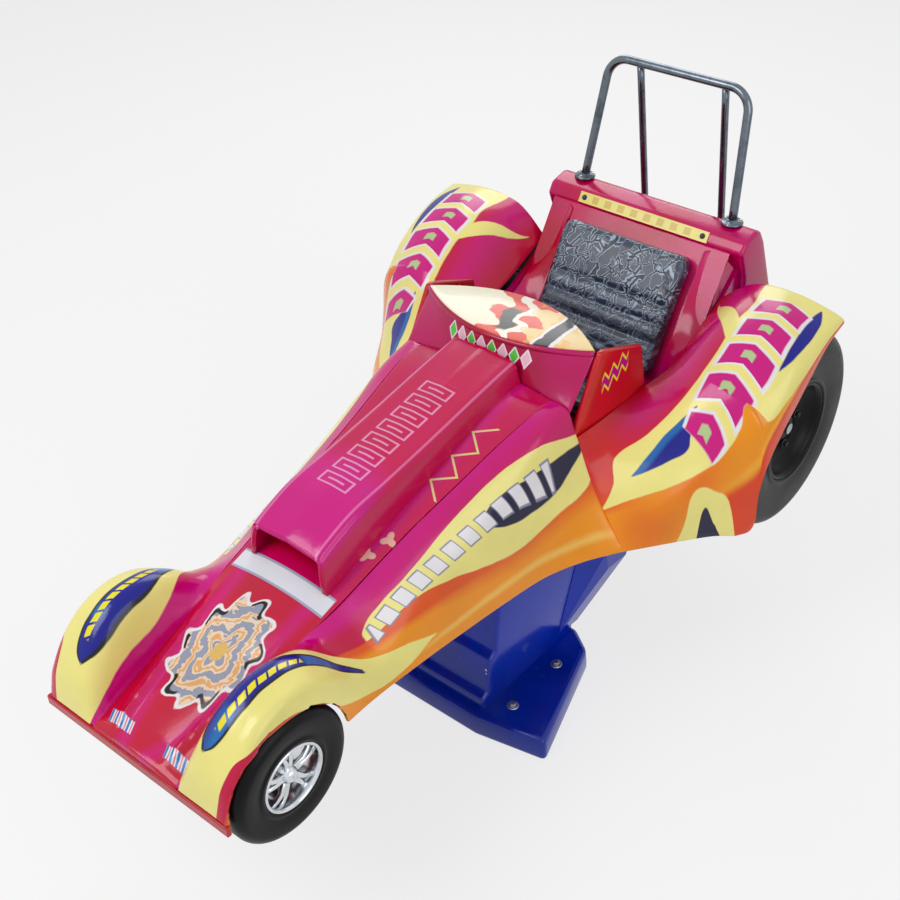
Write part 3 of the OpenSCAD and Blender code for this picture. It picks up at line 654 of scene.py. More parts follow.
def hood_finish(crimson, magenta):
    """Hood: crimson with painted magenta highlights along its two ridges, a pale band, a round flame badge and two
    striped stickers.
    """
    finish = Finish("hood_paint")
    x, y, _, spot = finish.place()
    ridge = finish.line(y, [(-850, .9), (-760, 1.9), (-600, 2.6), (100, 3.0)]) * 0.03
    # painted highlight: a magenta line along the top of each hood ridge
    ridge_highlight = abs(abs(x) - ridge).below(0.009, 0.03)
    rear = y.above(-0.45, 0.10)
    base = finish.mix(crimson, magenta, (ridge_highlight * 0.9).either(rear * 0.85))
    # darker crimson along the hood's outer edges at the rear, and painted shade on the hood just inside the scoop's
    # mouth, under its lip
    base = finish.mix(base, crimson, (abs(x).above(0.112, 0.02) * rear * 0.7).either(
        abs(y + 0.425).below(0.018, 0.03) * abs(x).below(0.09, 0.02)))
    from_band, across = abs(y + 0.479), abs(x).below(0.114, 0.002)
    band = from_band.below(0.020, 0.002) * across
    band_rim = from_band.within(0.0165, 0.0205, 0.002) * across
    dx, dy = x / 0.084, (y + 0.642) / 0.118
    far = (dx * dx + dy * dy) ** 0.5
    angle = dy.math("ARCTAN2", dx)
    ragged = finish.noise(spot, 30.0, 2.0)
    tongue = (angle * 11.0 + far * 5.0).wave() * 0.085 + ragged * 0.16
    badge = far.below(0.84 + tongue, 0.02)
    rim = far.above(0.77 + tongue, 0.02)
    dark_rim = far.within(0.70 + tongue, 0.78 + tongue, 0.02) * (angle * 5.5).wave().above(0.1, 0.2)
    swirl = (far * 21.0 + (angle * 4.0).wave() * 2.2 + finish.noise(spot, 26.0, 2.0, 0.5, 1.4) * 9.0).wave()
    inside = finish.mix(tint("f3ddc4"), tint("9da3ba"), swirl.above(0.25, 0.5))
    inside = finish.mix(inside, tint("efb06a"), (swirl * -1.0).above(0.82, 0.15))
    inside = finish.mix(inside, tint("6a6f8a"), abs(swirl - 0.3).below(0.06, 0.08))
    inside = finish.mix(inside, tint("e7c06a"), far.below(0.16, 0.04))
    inside = finish.layers(inside, (WHITE, rim), (BLACK, dark_rim))
    paint = finish.layers(base, (tint("e9ebf4"), band), (tint("9fb3cf"), band_rim), (inside, badge))
    for middle_x, middle_y in ((-0.062, -0.820), (0.078, -0.818)):
        sx, sy = x - middle_x + (y - middle_y) * 0.5, y - middle_y
        sticker = abs(sx).below(0.029, 0.002) * abs(sy).below(0.0105, 0.0015)
        stripe = (sx / 0.0145 + 8.0).part()
        stripes = finish.mix(WHITE, SKY, stripe.below(0.36, 0.06))
        stripes = finish.mix(stripes, tint("ee6a86"), stripe.within(0.62, 0.8, 0.04))
        paint = finish.mix(paint, stripes, sticker)
    zig = abs(((y + 0.21) * 16.0).part() - 0.5) * 0.075
    stroke = abs(x - 0.096 - zig).below(0.0032, 0.0012) * y.within(-0.21, -0.022, 0.002)
    paint = finish.mix(paint, tint("efe39a"), stroke * 0.9)
    for middle_x, middle_y, turn in ((0.101, -0.362, 0.7), (0.115, -0.318, 2.2)):
        px, py = x - middle_x, y - middle_y
        reach = (px * px + py * py) ** 0.5
        petal = (py.math("ARCTAN2", px) * 3.0 + turn).wave() * 0.0045 + 0.012
        paint = finish.mix(paint, tint("f6c9b4"), reach.below(petal, 0.002) * 0.9)
    return gel_coat(finish, mottled_link(finish, paint, spot), spot, 0.15)


def scoop_finish(crimson, magenta):
    """Scoop: magenta with painted shade in crimson on its side walls, pale pink painted highlights along its
    shoulders and a row of outlined blocks down its top.
    """
    finish = Finish("scoop_paint")
    x, y, z, spot = finish.place()
    rise = finish.line(y, [(-470, 2.05), (-370, 2.18), (-150, 2.42), (100, 2.58)]) * 0.3 - 0.018
    # painted shade: the scoop's side walls, below its top, are painted crimson
    side = z.below(rise - 0.012, 0.012)
    base = finish.mix(magenta, crimson, side * 0.75)
    base = finish.mix(base, crimson, finish.noise(spot, 4.0, 1.0).above(0.56, 0.2) * 0.55)
    # painted highlight: pale pink lines along the scoop's rounded shoulders
    shoulder = abs(abs(x) - 0.0735).below(0.0022, 0.0022)
    base = finish.mix(base, PINK, shoulder * 0.5)
    step = (y + 0.34) / 0.040
    lane = abs(x).below(0.036, 0.001) * y.within(-0.34, -0.02, 0.001)
    cell = step.part()
    box = cell.below(0.74, 0.03) * lane
    hollow = cell.within(0.09, 0.65) * abs(x).below(0.0315, 0.001)
    bar = abs(cell - 0.37).below(0.05, 0.03) * abs(x).below(0.019, 0.001)
    ink = (box * (1.0 - hollow)).either(bar * lane)
    paint = finish.mix(base, tint("f0a6cf"), ink * 0.85)
    return gel_coat(finish, mottled_link(finish, paint, spot), spot, 0.14)


def cowl_finish(colour, blush):
    """Front wall of the cowl: crimson with a row of outlined green, white and pink lozenges."""
    finish = Finish("cowl_gel_coat")
    x, _, z, spot = finish.place()
    base = finish.mix(mottled(finish, colour, spot), blush, finish.noise(spot, 3.1, 2.0).above(0.53, 0.22) * 0.75)
    cell = (x + 0.208) / 0.026
    reach = abs(cell.part() - 0.5) * 0.026 + abs(z - 0.722) * 0.6
    span = abs(x).below(0.104, 0.001)
    colour_of = finish.mix(tint("5fd04a"), tint("f7c4dc"), (cell * 0.5).part().above(0.5, 0.02))
    paint = finish.layers(base, (WHITE, reach.below(0.0125, 0.001) * span),
                          (colour_of, reach.below(0.0095, 0.001) * span))
    return gel_coat(finish, paint, spot)


def cowl_top_finish():
    """Top of the cowl: cream with a flame of orange and black, and a striped end."""
    finish = Finish("cowl_top_paint")
    x, y, _, spot = finish.place()
    edge = (y - 0.181) / 0.077
    skew = x + edge * 0.02 + (finish.noise(spot, 24.0, 2.0) - 0.5) * 0.02
    lick = (y * 95.0 + finish.noise(spot, 16.0, 2.0) * 5.0).wave() * 0.022
    flame = abs(skew - 0.018).below(0.045 + lick, 0.004)
    core = abs(skew - 0.002 + lick * 0.4).below(0.017, 0.004) * abs(edge + 0.1).below(0.5, 0.1)
    dusk = skew.above(0.05, 0.01)
    black_bar = abs(skew - 0.112 - edge * 0.02).below(0.012, 0.002)
    white_bar = abs(skew - 0.112 - edge * 0.02).below(0.019, 0.002)
    paint = finish.layers(
        tint("fbf4d8"), (tint("f6cf72"), skew.above(0.045, 0.02) * 0.8), (tint("e8401c"), flame),
        (tint("fdf6e6"), (skew * 60.0 + lick * 50.0).wave().above(0.72, 0.1) * flame), (BLACK, core),
        (tint("f7b24a"), dusk * finish.noise(spot, 30.0, 1.0).above(0.6, 0.05) * 0.6), (WHITE, white_bar),
        (BLACK, black_bar))
    return gel_coat(finish, mottled_link(finish, paint, spot), spot, 0.16)


def screen_finish():
    """Side screens: bright red with a plain zigzag band, yellow with a magenta middle."""
    finish = Finish("screen_paint")
    _, y, z, spot = finish.place()
    base = mottled(finish, tint("d6101e"), spot)
    zig = abs(((y - 0.225) * 34.0).part() - 0.5) * 0.045
    band = abs(z - 0.672 - zig - (y - 0.225) * 0.25)
    span = abs(y - 0.232).below(0.044, 0.002)
    paint = finish.layers(base, (YELLOW, band.below(0.017, 0.002) * span),
                          (tint("c4128a"), band.below(0.010, 0.002) * span))
    return gel_coat(finish, paint, spot, 0.16)


def pedestal_finish(blue):
    """Glossy blue moulding with a cloudy tone, lighter scuffs and pale chips."""
    finish = Finish("pedestal_blue")
    spot = finish.place()[3]
    base = mottled(finish, blue, spot, 0.16)
    scuffs = finish.noise(spot, 55.0, 6.0, 0.7, 1.2)
    chips = finish.noise(spot, 38.0, 2.0, 0.5).above(0.79, 0.02)
    paint = finish.layers(base, (tint("2a55e0"), scuffs.above(0.66, 0.12) * 0.5), (tint("c6dcff"), chips * 0.9))
    normal = finish.bump(finish.noise(spot, 90.0, 2.0), 0.0008, 0.2)
    return finish.done(paint, scuffs * 0.22 + 0.08, normal, 0.0, 0.15, 0.3)


def tyre_finish():
    """Black moulded tyre: satin tread, faint rings on its wall and dust."""
    finish = Finish("tyre_rubber")
    spot = finish.place()[3]
    dust = finish.noise(spot, 18.0, 4.0, 0.6)
    grain = finish.noise(spot, 260.0, 2.0)
    paint = finish.mix(tint("050506"), tint("19171a"), dust.above(0.56, 0.35) * 0.4)
    return finish.done(paint, dust * 0.25 + 0.26, finish.bump(grain, 0.0006, 0.35), shine=0.15)


def chrome_finish(name, colour, rough, wear=0.5):
    finish = Finish(name)
    spot = finish.place()[3]
    film = finish.noise(spot, 30.0, 5.0, 0.65, 0.5)
    paint = finish.mix(colour, tuple(c * 0.35 for c in colour[:3]) + (1.0,), film.above(0.6, 0.25) * wear)
    return finish.done(paint, film * 0.22 + rough, finish.bump(film, 0.0004, 0.15), 1.0)


def steel_finish():
    finish = Finish("painted_steel")
    spot = finish.place()[3]
    dirt = finish.noise(spot, 14.0, 5.0, 0.6)
    paint = finish.mix(tint("24282d"), tint("4a3a30"), dirt.above(0.6, 0.2) * 0.6)
    return finish.done(paint, dirt * 0.3 + 0.3, finish.bump(finish.noise(spot, 120.0, 2.0), 0.0006, 0.3), 0.3)


def vinyl_finish(colour):
    """Wrinkled padded vinyl: painted shade in its creases, painted highlights on their ridges, painted light and
    shade in bands along the rows on the lower part of the seat, and a fine grain.
    """
    finish = Finish("seat_vinyl")
    _, _, z, spot = finish.place()
    warp = finish.noise(spot, 13.0, 3.0, 0.55, 1.0)
    cell = finish.node("ShaderNodeTexVoronoi", {"feature": "DISTANCE_TO_EDGE"},
                       {"Vector": shifted(finish, spot, warp), "Scale": 36.0})
    crease = finish.val(cell.outputs[0])
    rows = (z * 76.0 + warp * 5.0).wave()
    calm = z.below(0.64, 0.06)
    # painted shade in the creases, and painted highlights on their ridges
    fold = crease.below(0.035, 0.05) * (1.0 - calm * 0.7)
    ridge = abs(crease - 0.085).below(0.026, 0.03) * (1.0 - calm * 0.6)
    pale = tint("a9bdd2")
    paint = finish.mix(colour, tint("171c28"), finish.noise(spot, 9.0, 3.0).above(0.5, 0.4) * 0.6)
    # painted shade and highlights: dark creases, pale ridges, and pale and dark bands along the rows
    paint = finish.layers(paint, (tint("0c1018"), fold * 0.85), (pale, ridge * 0.9),
                          (pale, rows.above(0.93, 0.08) * calm * 0.45),
                          (tint("10141d"), (rows * -1.0).above(0.9, 0.1) * calm * 0.6))
    grain = finish.noise(spot, 420.0, 2.0)
    height = grain * 0.10 + (1.0 - fold) * 0.5 + rows * calm * 0.3
    roughness = finish.noise(spot, 30.0, 3.0) * 0.25 + 0.22
    return finish.done(paint, roughness, finish.bump(height, 0.0035, 0.6), 0.0, 0.15)


def shifted(finish, spot, amount):
    """The place moved about by a noise value."""
    scaled = finish.node("ShaderNodeVectorMath", {"operation": "SCALE"}, {0: (0.07, 0.05, 0.09), 3: amount})
    return finish.node("ShaderNodeVectorMath", {"operation": "ADD"}, {0: spot, 1: scaled.outputs[0]}).outputs[0]


def strip_finish():
    """Cream strip with a row of plain dark dashes."""
    finish = Finish("strip_paint")
    x, _, z, spot = finish.place()
    row = abs(z - 0.780).below(0.0065, 0.001) * abs(x).below(0.13, 0.001)
    dash = ((x + 0.2) / 0.034).part().below(0.5, 0.06) * row
    paint = finish.layers(tint("f7e97c"), (tint("d8b23c"), dash * 0.75))
    return gel_coat(finish, mottled_link(finish, paint, spot), spot, 0.2)


FINISHES = {}


def finishes():
    """All the ride's finishes, made once."""
    if not FINISHES:
        crimson, magenta = tuple(colours().crimson), tuple(colours().magenta)
        FINISHES.update(
            flank=body_finish(crimson, magenta), rear=rear_finish(crimson, magenta),
            hood=hood_finish(crimson, magenta), scoop=scoop_finish(crimson, magenta),
            crimson=tub_finish("crimson_gel_coat", crimson, magenta),
            nose=tub_finish("nose_gel_coat", tint("c20a22")),
            cowl=cowl_finish(tint("b4003c"), magenta), lens=cowl_top_finish(), screen=screen_finish(),
            blue=pedestal_finish(tuple(colours().base)), tyre=tyre_finish(),
            chrome=chrome_finish("wheel_chrome", tint("d4d8dc"), 0.06, 0.25),
            hoop=chrome_finish("dark_chrome_tube", tint("6a727c"), 0.10, 0.8),
            bright=chrome_finish("bright_steel", tint("a9adb2"), 0.22, 0.4), steel=steel_finish(),
            vinyl=vinyl_finish(tuple(colours().vinyl)), strip=strip_finish())
    return FINISHES


class RidePiece:
    """What every operator that builds part of the ride shares."""

    bl_options = {"REGISTER", "UNDO"}

    def execute(self, context):
        self.build()
        return {"FINISHED"}


# ---------------------------------------------------------------- pieces


class RIDE_OT_panels(RidePiece, bpy.types.Operator):
    """Builds the front fenders, flanks and rear fenders on both sides"""

    bl_idname = "ride.panels"
    bl_label = "Fenders and flanks"
    steps = 7
    per_stripe = 7
    arch_gap = 6.0

    def build(self):
        look = finishes()
        for mirror, side in ((False, "left"), (True, "right")):
            rows = spread(FENDER + FLANK, self.steps)
            front = skin(side + "_flank_moulding", self.grid(rows), look["flank"], wall=sizes().wall,
                         mirror=mirror, keep=self.outside_arch(rows))
            stand_in(front, "cream_moulding", side + "_front_fender", side + "_side_panel")
            rear = skin(side + "_rear_fender_moulding", self.grid(spread(REAR, self.steps)), look["rear"],
                        wall=sizes().wall, mirror=mirror)
            stand_in(rear, "cream_moulding", side + "_rear_fender")

    def grid(self, rows):
        out = []
        for row in rows:
            line = []
            for x, z, across in section(row, self.per_stripe):
                y = row[0]
                if x > 160 and y < -500:
                    y, z = self.pushed(y, z)
                line.append((*metres(x, y, z), (row[0] - MID_Y) * MM, across))
            out.append(line)
        return out

    def pushed(self, y, z):
        """Moves a point out of the wheel arch to the arch's rim."""
        dy, dz = y - FRONT_AXLE[0], z - FRONT_AXLE[1]
        reach, radius = math.hypot(dy, dz), sizes().front_tyre_r / MM + self.arch_gap
        if reach >= radius or reach < 1e-6:
            return y, z
        return FRONT_AXLE[0] + dy * radius / reach, FRONT_AXLE[1] + dz * radius / reach

    def outside_arch(self, rows):
        radius = sizes().front_tyre_r / MM + self.arch_gap
        grid = [[(x, row[0], z) for x, z, _ in section(row, self.per_stripe)] for row in rows]

        def inside(point):
            x, y, z = point
            return x > 160 and y < -500 and math.hypot(y - FRONT_AXLE[0], z - FRONT_AXLE[1]) < radius

        return lambda i, j: not all(inside(grid[a][b]) for a in (i, i + 1) for b in (j, j + 1))


class RIDE_OT_hood(RidePiece, bpy.types.Operator):
    """Builds the hood with its two ridges, and the scoop"""

    bl_idname = "ride.hood"
    bl_label = "Hood and scoop"
    seam = 0.3
    ridge_height = 7.0

    def build(self):
        look = finishes()
        grid = []
        for row in spread(FENDER + FLANK, 6):
            edge = row[1] - self.seam
            line = []
            for k in range(-24, 25):
                x = edge * k / 24
                place = metres(x, row[0], self.height(row, x))
                line.append((*place, place[1], k / 24))
            grid.append(line)
        grid.insert(0, [(x, y, 0.381, along, across) for x, y, _, along, across in grid[0]])
        hood = skin("hood_moulding", grid, look["hood"], wall=sizes().wall)
        stand_in(hood, "crimson_moulding", "hood")
        stations = [max(i / 6, 0.12) for i in range(6 * (len(SCOOP) - 1) + 1)]
        scoop = skin("scoop_moulding", [self.scoop_line(s) for s in stations], look["scoop"], wall=sizes().wall)
        stand_in(scoop, "magenta_moulding", "hood_scoop")
        mouth = [Vector(point[:3]) - Vector((0, -0.001, 0.003)) for point in self.scoop_line(stations[0])[1:-1]]
        lip = tube("scoop_lip", mouth, 0.0052, look["scoop"], "car", 14)
        stand_in(lip, "magenta_moulding")

    def height(self, row, x):
        """Height of the hood: a slight crown with a sharp ridge near each side, fading out under the scoop."""
        edge = row[1] - self.seam
        crown = row[2] + HOOD_CROWN * (1 - (x / edge) ** 2)
        fade = min(max((-470 - row[0]) / 120, 0.0), 1.0) * min(max((row[0] + 815) / 40, 0.0), 1.0)
        ridge_x = 60 + 34 * min(max((row[0] + 815) / 260, 0.0), 1.0)
        peak = max(1 - abs(abs(x) - ridge_x) / 15, 0.0)
        return crown + self.ridge_height * fade * (peak - 0.6 * (abs(x) < ridge_x))

    def scoop_line(self, s):
        row, (half, rise) = between(FLANK, s), between(SCOOP, s)
        top = row[2] + HOOD_CROWN + rise
        edge = row[1] - self.seam
        foot = half + 12
        foot_z = row[2] + HOOD_CROWN * (1 - (foot / edge) ** 2) + self.seam
        lean = max(1 - s / 0.45, 0.0)
        points = [(foot, foot_z), (half + 4, top - 16), (half, top - 6), (half - 7, top - 1), (half - 30, top + 0.5),
                  (0, top + 4)]
        line = spread(points, 4)
        full = [(-x, z) for x, z in line] + [(x, z) for x, z in line[-2::-1]]
        y = row[0] - MID_Y
        out = []
        for k, (x, z) in enumerate(full):
            up = (z - foot_z) / max(top - foot_z, 1.0)
            out.append((x * MM, (y + 26 * lean * lean * max(up - 0.55, 0.0)) * MM, z * MM, y * MM, k / len(full)))
        return out


class RIDE_OT_cowl(RidePiece, bpy.types.Operator):
    """Builds the cowl's front wall, its lens-shaped top and the side screens"""

    bl_idname = "ride.cowl"
    bl_label = "Cowl"
    half_w = 207.0
    tip_y = 211.0
    top_z = 746.0

    def build(self):
        look = finishes()
        steps = 28
        grid = []
        for k in range(-steps, steps + 1):
            t = k / steps
            swell = 1 - t * t
            foot = (130.6, 652 + 24 * swell)
            head = (self.tip_y - 70 * swell, self.top_z)
            line = []
            for i in range(9):
                s = i / 8
                y = foot[0] + (head[0] - foot[0]) * s
                z = foot[1] + (head[1] - foot[1]) * s
                line.append((*metres(self.half_w * t, y, z), t, s))
            grid.append(line)
        wall = skin("cowl_moulding", grid, look["cowl"], wall=sizes().wall)
        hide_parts("cowl")
        outline = [self.rim(k / steps, -70) for k in range(-steps, steps + 1)]
        outline += [self.rim(k / steps, 84) for k in range(steps - 1, -steps, -1)]
        top = prism("cowl_top_moulding", outline, "z", self.top_z + 0.3, self.top_z + 8.3, look["lens"],
                    "car", 0.0028)
        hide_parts("cowl_top")
        bead = []
        for k in range(-steps, steps + 1):
            t = k / steps
            bead.append(metres((self.half_w - 2) * t, self.tip_y - 68 * (1 - t ** 2), self.top_z + 0.5))
        roll = tube("cowl_edge_roll", bead, 0.0068, look["cowl"], "car", 12)
        stand_in(roll, "crimson_moulding")
        profile = [(131, 606), (142, 628), (212, 752), (226, 752), (356, 700), (381, 580), (381, 572), (131, 572)]
        for side, low, high in (("left", 207.3, 221.3), ("right", -221.3, -207.3)):
            screen = prism(side + "_screen_moulding", profile, "x", low, high, look["screen"], "car", 0.0055, 4)
            stand_in(screen, "crimson_moulding", side + "_side_screen")

    def rim(self, t, bulge):
        """A point of the lens-shaped rim, t of the way out to its tip."""
        return self.half_w * t, self.tip_y + bulge * (1 - t ** 2)


class RIDE_OT_tub(RidePiece, bpy.types.Operator):
    """Builds the seat's wings, the deck behind it and the rest of the tub"""

    bl_idname = "ride.tub"
    bl_label = "Seat tub and deck"
    half_w = 252.0
    inner_x = 169.0
    side_x = 226.0

    def build(self):
        look = finishes()
        profile = TAIL + [(700, 398), (700, 700)]
        deck = prism("deck_moulding", profile, "x", -self.half_w, self.half_w, look["crimson"], "car", 0.012, 5)
        stand_in(deck, "crimson_moulding", "rear_deck")
        for mirror, side in ((False, "left"), (True, "right")):
            grid = []
            for row in spread(WINGS, 8):
                line = []
                for k in range(13):
                    t = k / 12
                    x = self.inner_x + (self.side_x - self.inner_x) * t
                    y = row[0] + (row[2] - row[0]) * t
                    z = row[1] + (row[3] - row[1]) * t + 10 * math.sin(math.pi * t)
                    line.append((*metres(x, y, z), y * MM, t))
                grid.append(line)
            wing = skin(side + "_seat_wing", grid, look["crimson"], wall=sizes().wall, mirror=mirror)
            stand_in(wing, "crimson_moulding")
        for node, radius in (("seat_shell", 0.0022), ("left_cockpit_side", 0.004), ("right_cockpit_side", 0.004),
                             ("floor_pan", 0.0015)):
            dress(node, look["crimson"], radius)
        dress("nose_blade", look["nose"], 0.001)
        dress("headrest_strip", look["strip"], 0.001)
        lean = math.atan2(790 - 766.4, 690 - 674.4)
        up = (0.0, -math.sin(lean), math.cos(lean))
        places = [(x * MM, (682.2 - MID_Y) * MM - 0.0035 * math.sin(lean), 0.7782 + 0.0035 * math.cos(lean))
                  for x in (-152, 152)]
        screws = studs("headrest_strip_screws", places, up, 0.0042, 0.0028, look["steel"], "car", 16)
        stand_in(screws, "bright_steel")


class RIDE_OT_roll_bar(RidePiece, bpy.types.Operator):
    """Builds the roll hoop, its two stays and their bolted feet"""

    bl_idname = "ride.roll_bar"
    bl_label = "Roll bar"
    hoop_y = 733.0
    hoop_z = 800.3
    half_w = 190.0
    height = 276.0
    bend_r = 48.0
    flange = [(0, 0), (23.5, 0), (23.5, 3.4), (21.5, 5), (13, 5.5), (10.4, 9), (0, 9)]
    lean_back = math.radians(12.5)
    lean_in = math.radians(4.0)

    def build(self):
        look = finishes()
        leg = self.height - self.bend_r
        top_x = self.half_w - leg * math.tan(self.lean_in)
        side = [(self.half_w - s * leg * math.tan(self.lean_in), s * leg) for s in [k / 8 for k in range(8)]]
        centre = (top_x - self.bend_r * math.cos(self.lean_in), leg - self.bend_r * math.sin(self.lean_in))
        for k in range(13):
            a = self.lean_in + (math.pi / 2 - self.lean_in) * k / 12
            side.append((centre[0] + self.bend_r * math.cos(a), centre[1] + self.bend_r * math.sin(a)))
        flat = side + [(-x, z) for x, z in side[::-1]]
        path = [metres(x, self.hoop_y + z * math.sin(self.lean_back), self.hoop_z + z * math.cos(self.lean_back))
                for x, z in flat]
        hoop = tube("roll_hoop_tube", path, sizes().hoop_r, look["hoop"], "car", 28)
        stand_in(hoop, "dark_tube", "roll_hoop")
        for side_name, s in (("left", 1.0), ("right", -1.0)):
            foot = turned_up(side_name + "_hoop_foot", metres(s * self.half_w, self.hoop_y, self.hoop_z),
                             self.flange, look["hoop"])
            stand_in(foot, "dark_tube")
            places = [metres(s * self.half_w + 17 * math.cos(a), self.hoop_y + 17 * math.sin(a), self.hoop_z + 5)
                      for a in (0.6, 2.7, 4.8)]
            bolts = studs(side_name + "_hoop_foot_bolts", places, (0, 0, 1), 0.0036, 0.003, look["bright"], "car")
            stand_in(bolts, "bright_steel")
            path = [metres(s * (105 - 7 * t), 806 + 66 * t, 1060 - 520 * t) for t in (k / 12 for k in range(13))]
            stay = tube(side_name + "_roll_stay", path, sizes().stay_r, look["hoop"], "car")
            stand_in(stay, "dark_tube")
            plate = prism(side_name + "_stay_plate", [(862.6, 520), (884, 520), (884, 566), (845.9, 566)], "x",
                          s * 98 - 16, s * 98 + 16, look["hoop"], "car", 0.004)
            stand_in(plate, "dark_tube")
            if side_name == "left":
                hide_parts("roll_stays")


def turned_up(name, place, profile, material, body="car", count=48):
    """A small solid turned about a vertical axis from (radius, height) in millimetres."""
    built = bmesh.new()
    x, y, z = place
    rings = [[built.verts.new((x + r * MM * math.cos(a), y + r * MM * math.sin(a), z + h * MM))
              for r, h in profile] for a in (2 * math.pi * k / count for k in range(count))]
    for k in range(count):
        band(built, rings[k], rings[(k + 1) % count])
    bmesh.ops.remove_doubles(built, verts=built.verts, dist=1e-6)
    bmesh.ops.dissolve_degenerate(built, edges=built.edges, dist=1e-7)
    return made(built, name, material, body)


class RIDE_OT_wheels(RidePiece, bpy.types.Operator):
    """Builds the four tyres, the five-spoke front rims, the rear rims and the axles"""

    bl_idname = "ride.wheels"
    bl_label = "Wheels"
    hub_cap = [(0.01, 3), (9, 4), (13, 8), (14, 14), (20, 17), (20, 66), (10.2, 70), (10.2, 16), (0.01, 16)]
    rear_disc = [(0.01, 26), (24, 26), (30, 32), (34, 40), (88, 34), (100, 14), (104, 3), (109.7, 4),
                 (109.7, 160), (104, 162), (100, 60), (84, 52), (30, 52), (30, 150), (12.2, 152), (12.2, 40),
                 (0.01, 40)]

    def build(self):
        look = finishes()
        for side, sign in (("left", 1.0), ("right", -1.0)):
            body = side + "_front_wheel"
            at = (240.0, *FRONT_AXLE)
            tyre = turned(side + "_front_tyre_moulding", self.tyre(sizes().front_tyre_r / MM, 74, 67, 20), at,
                          look["tyre"], body, 128, sign)
            stand_in(tyre, "tyre_black", side + "_front_tyre")
            rim = turned(side + "_front_rim_barrel", self.barrel(66.7, 74, 18), at, look["chrome"], body, 96, sign)
            stand_in(rim, "wheel_chrome", side + "_front_rim")
            spokes = self.spokes(side + "_front_spokes", at, look["chrome"], body, sign)
            stand_in(spokes, "wheel_chrome")
            cap = turned(side + "_front_hub_cap", self.hub_cap, at, look["chrome"], body, 48, sign)
            stand_in(cap, "wheel_chrome")
            body = side + "_rear_wheel"
            at = (472.0, *REAR_AXLE)
            tyre = turned(side + "_rear_tyre_moulding", self.tyre(sizes().rear_tyre_r / MM, 166, 110, 32), at,
                          look["tyre"], body, 144, sign)
            stand_in(tyre, "tyre_black", side + "_rear_tyre")
            disc = turned(side + "_rear_wheel_disc", self.rear_disc, at, look["tyre"], body, 96, sign)
            stand_in(disc, "tyre_black", side + "_rear_rim")
            places = [metres(sign * (at[0] - 37), at[1] + 58 * math.cos(a), at[2] + 58 * math.sin(a))
                      for a in (2 * math.pi * k / 5 for k in range(5))]
            nuts = studs(side + "_rear_wheel_nuts", places, (sign, 0, 0), 0.007, 0.007, look["steel"], body)
            stand_in(nuts, "bright_steel")
        for node in ("front_axle", "rear_axle", "pivot_pin"):
            dress(node, look["bright"], 0.0008)

    def tyre(self, r, w, bore, corner):
        """Closed profile of a moulded tyre with a raised bead ring and shallow shoulder grooves."""
        wall = 14.0
        turns = [math.pi / 2 * k / 8 for k in range(9)]
        points = [(bore, 3.0), (bore + 3, 1.6), (bore + 8, 1.2), (bore + 10, 3.0), (bore + 13, 3.4),
                  (bore + 22, 1.0)]
        points += [(r - corner + corner * math.sin(a), corner - corner * math.cos(a)) for a in turns]
        points += [(r, corner + 2.0), (r - 1.2, corner + 3.0), (r, corner + 4.0), (r, w / 2)]
        points += [(r, w - corner - 4.0), (r - 1.2, w - corner - 3.0), (r, w - corner - 2.0)]
        points += [(r - corner + corner * math.cos(a), w - corner + corner * math.sin(a)) for a in turns]
        return points + [(bore + 22, w - 1.0), (bore + 3, w - 1.6), (bore, w - 3.0), (bore, w - wall),
                         (r - wall - 6, w - wall), (r - wall, w - wall - 8), (r - wall, wall + 8),
                         (r - wall - 6, wall), (bore, wall)]

    def barrel(self, r, w, dish):
        """Closed profile of a rim: rolled outer lip, sloping well and inner flange."""
        return [(r, 2.0), (r - 1.5, 0.6), (r - 4.0, 0.4), (r - 6.0, 2.2), (r - 7.0, 6), (r - 9, dish),
                (r - 10, dish + 16), (r - 7, w - 8), (r - 5, w - 1.5), (r, w - 1.5)]

    def spokes(self, name, at, material, body, sign):
        """Five tapered spokes that split near the rim."""
        built = bmesh.new()
        for k in range(5):
            turn = 2 * math.pi * k / 5 + 0.35
            for fork in (-1, 1):
                rings = []
                for t, half, thick in ((0.0, 6.0, 8.0), (0.45, 4.4, 7.0), (0.8, 4.0, 6.0), (1.0, 5.4, 6.0)):
                    r = 15 + 44 * t
                    offset = fork * (3.2 + 9.5 * max(t - 0.25, 0.0))
                    depth = 13 - 4 * math.sin(math.pi * t) + 1.5 * t
                    ring = []
                    for across, deep in ((-half, 0.0), (-half * 0.55, -1.8), (half * 0.55, -1.8), (half, 0.0),
                                         (half, thick), (-half, thick)):
                        a, s = turn, across + offset
                        y = r * math.cos(a) - s * math.sin(a)
                        z = r * math.sin(a) + s * math.cos(a)
                        place = metres(sign * (at[0] - depth - deep), at[1] + y, at[2] + z)
                        ring.append(built.verts.new(place))
                    rings.append(ring)
                for a, b in zip(rings, rings[1:]):
                    band(built, a, b)
                capped(built, rings)
        piece = made(built, name, material, body)
        soften(piece, 0.0008, 2, 30.0)
        return settle(piece)


